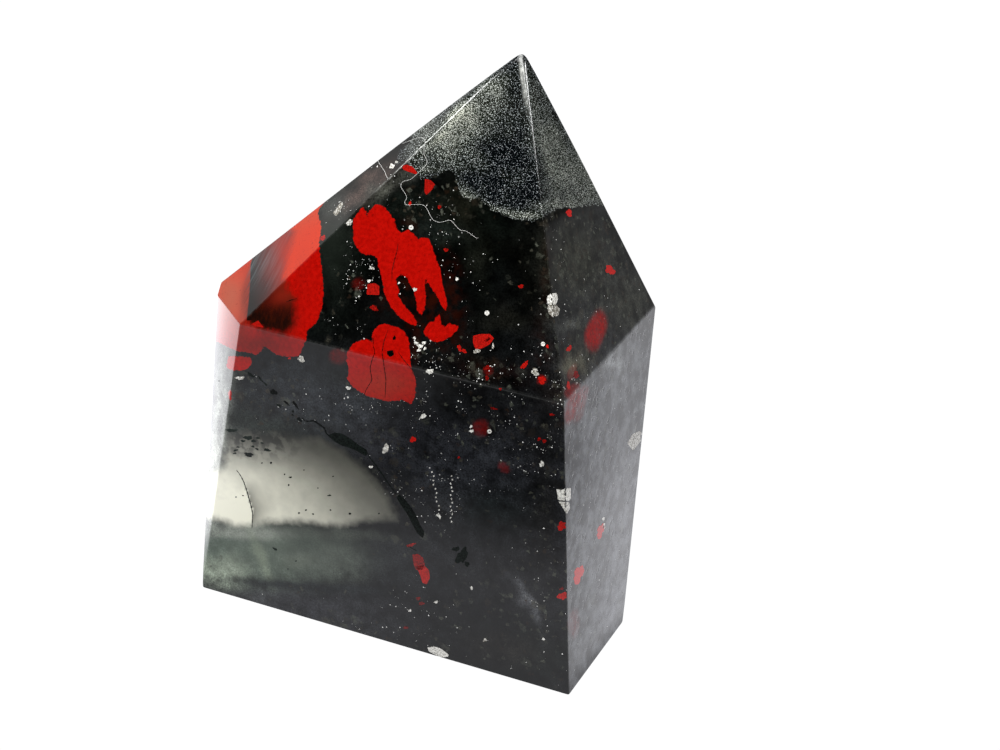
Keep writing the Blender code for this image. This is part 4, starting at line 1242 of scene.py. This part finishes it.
studio = {
    "floorReach": 3000,
    "floorLevel": -0.02,
    "floorSeen": 1.03,              # brightness of the overexposed white paper as the camera sees it
    "floorTint": "#f8f8fd",         # the paper is a little cool where the faces mirror it
    "floorMirrored": {              # brightness of the paper as the faces mirror it, and where it changes
        "near": 0.7,
        "left": 3.3,
        "leftAt": (-34, -55),
        "right": (1.06, 1.66),      # from under the front edge of the right face to under its back edge
        "rightAt": (33, 37),
        "rightSlant": -1.76,        # the right face stands askew, so its edges lie along Y - 1.76 X
        "rightAlong": (-84, -64),
        "rightFall": 0.7,           # share that it falls to farther out
        "rightFallAt": (52, 72),
        "back": 1.5,
        "backAt": (-10, 60),
        "front": (0.6, 0.03),       # in front of the stone, to its left and to its right
        "frontAt": (-50, -90),
        "frontAcross": (-54, -24),
        "far": 0.2,
        "farAt": (180, 600),
    },
    "roomMirrored": "#21211d",      # dim room round the paper
    "topLight": {"place": (-160, 0, 660), "size": (700, 700), "radiance": 5.0},
    "frontPanel": {"place": (-72, -411, 538), "size": (500, 200), "radiance": 8.0},
    "leftPanel": {"place": (-420, 110, 170), "size": (360, 200), "radiance": 0.66},
    "leftLamp": {"place": (-458, -209, 409), "size": (100, 62), "radiance": 25.0},
    "rightLamp": {"place": (446, -145, 471), "size": (400, 60), "radiance": 24.0},
    "frontFlag": {"place": (-93, -255, 187), "size": (300, 220)},
}


def facing(place, target=(0, 0, 40)):
    # Turns local +Z from the target back to the place: back = (place - target) / length, side = up x back
    back = np.array(place, float) - np.array(target, float)
    back /= np.linalg.norm(back)
    side = np.cross([0.0, 1.0, 0.0] if abs(back[2]) > 0.9 else [0.0, 0.0, 1.0], back)
    side /= np.linalg.norm(side)
    return standing(side, np.cross(back, side), back, place)


def makeAreaLight(name, place, size, radiance):
    # Power of a flat square light from its radiance: pi * area * radiance
    data = bpy.data.lights.new(name, "AREA")
    data.shape = "RECTANGLE"
    data.size, data.size_y = size[0] * mm, size[1] * mm
    data.energy = math.pi * data.size * data.size_y * radiance
    addObject(name, data).matrix_world = Matrix(facing(place).tolist())


def makeFloor():
    # One square just under the stone
    reach, level = studio["floorReach"] * mm, studio["floorLevel"] * mm
    mesh = bpy.data.meshes.new("floor")
    corners = [(x, y, level) for x, y in ((-reach, -reach), (reach, -reach), (reach, reach), (-reach, reach))]
    mesh.from_pydata(corners, [], [(0, 1, 2, 3)])
    mesh.materials.append(makeFloodlitPaper())
    addObject("floor", mesh)


def makeFloodlitPaper():
    # White paper under so much light that the camera clips it. The polish gets a brightness of its own from
    # it, which changes round the stone by linear and smoothstep ramps
    paper = bpy.data.materials.new("floodlitPaper")
    paper.use_nodes = True
    tree = paper.node_tree
    tree.nodes.clear()
    bright = studio["floorMirrored"]
    place = (addNode(tree, "TexCoord"), "Object")
    split = addNode(tree, "SeparateXYZ", {0: place})
    x, y = (split, "X"), (split, "Y")
    slanted = addNode(tree, "Math", {0: x, 1: bright["rightSlant"], 2: y}, **timesPlus)
    away = (addNode(tree, "VectorMath", {0: place}, operation="LENGTH"), "Value")
    step = {}
    for name, value, low, high, settings in (
            ("leftAt", x, bright["near"], bright["left"], smooth),
            ("backAt", y, 0.0, bright["back"] - bright["near"], smooth),
            ("rightAt", x, 0.0, 1.0, smooth),
            ("rightAlong", slanted, *bright["right"], {}),
            ("rightFallAt", x, 1.0, bright["rightFall"], smooth),
            ("frontAt", y, 0.0, 1.0, smooth),
            ("frontAcross", x, *bright["front"], {}),
            ("farAt", away, 0.0, 1.0, smooth)):
        begin, end = bright[name]
        step[name] = addNode(tree, "MapRange", {0: value, 1: begin * mm, 2: end * mm, 3: low, 4: high},
                             **settings)
    around = addNode(tree, "Math", {0: step["leftAt"], 1: step["backAt"]}, **plus)
    onRight = addNode(tree, "Math", {0: step["rightAlong"], 1: step["rightFallAt"]}, **times)
    around = addNode(tree, "Mix", {0: step["rightAt"], 2: around, 3: onRight})
    around = addNode(tree, "Mix", {0: step["frontAt"], 2: around, 3: step["frontAcross"]})
    mirrored = addNode(tree, "Mix", {0: step["farAt"], 2: around, 3: bright["far"]})
    seen = (addNode(tree, "LightPath"), "Is Camera Ray")
    strength = addNode(tree, "Mix", {0: seen, 2: mirrored, 3: studio["floorSeen"]})
    tint = addNode(tree, "Mix", {0: seen, 6: studio["floorTint"], 7: "#ffffff"}, **blend)
    addNode(tree, "OutputMaterial", {0: addNode(tree, "Emission", {0: tint, "Strength": strength})})
    return paper


def makeFlag(name, place, size):
    # Black card that only the polished faces see, where the photographer stood
    mesh = bpy.data.meshes.new(name)
    across, high = size[0] / 2 * mm, size[1] / 2 * mm
    corners = ((-across, -high), (across, -high), (across, high), (-across, high))
    flat = np.array([(x, y, 0, 1) for x, y in corners])
    mesh.from_pydata((flat @ facing(place).T)[:, :3].tolist(), [], [(0, 1, 2, 3)])
    flag = addObject(name, mesh)
    flag.visible_camera = False
    felt, _, _ = startMaterial("blackFelt", {"Base Color": "#050505", "Roughness": 1.0,
                                             "Specular IOR Level": 0.0})
    mesh.materials.append(felt)


def makeWorld():
    # White to the camera, a dim room to the polished faces
    world = bpy.data.worlds.new("studioWorld")
    world.use_nodes = True
    tree = world.node_tree
    path = addNode(tree, "LightPath")
    mix = addNode(tree, "Mix", {0: (path, "Is Camera Ray"), 6: studio["roomMirrored"], 7: "#ffffff"}, **blend)
    tree.links.new(mix.outputs[2], tree.nodes["Background"].inputs["Color"])
    bpy.context.scene.world = world


def makeStudio():
    # Floor, room, lights and flag, with colours shown as they are
    makeFloor()
    makeWorld()
    for name in ("topLight", "frontPanel", "leftPanel", "leftLamp", "rightLamp"):
        makeAreaLight(name, **studio[name])
    makeFlag("frontFlag", **studio["frontFlag"])
    view = bpy.context.scene.view_settings
    view.view_transform = "Standard"
    view.look = "None"
    print("studio ready")


makeCamera()
makeStone()
makeInlay("jasperSpecks", jasperSpecks)
makeInlay("quartzGrains", quartzGrains)
makeInlay("darkSeams", darkSeams)
makeLintFibre()
makeStudio()
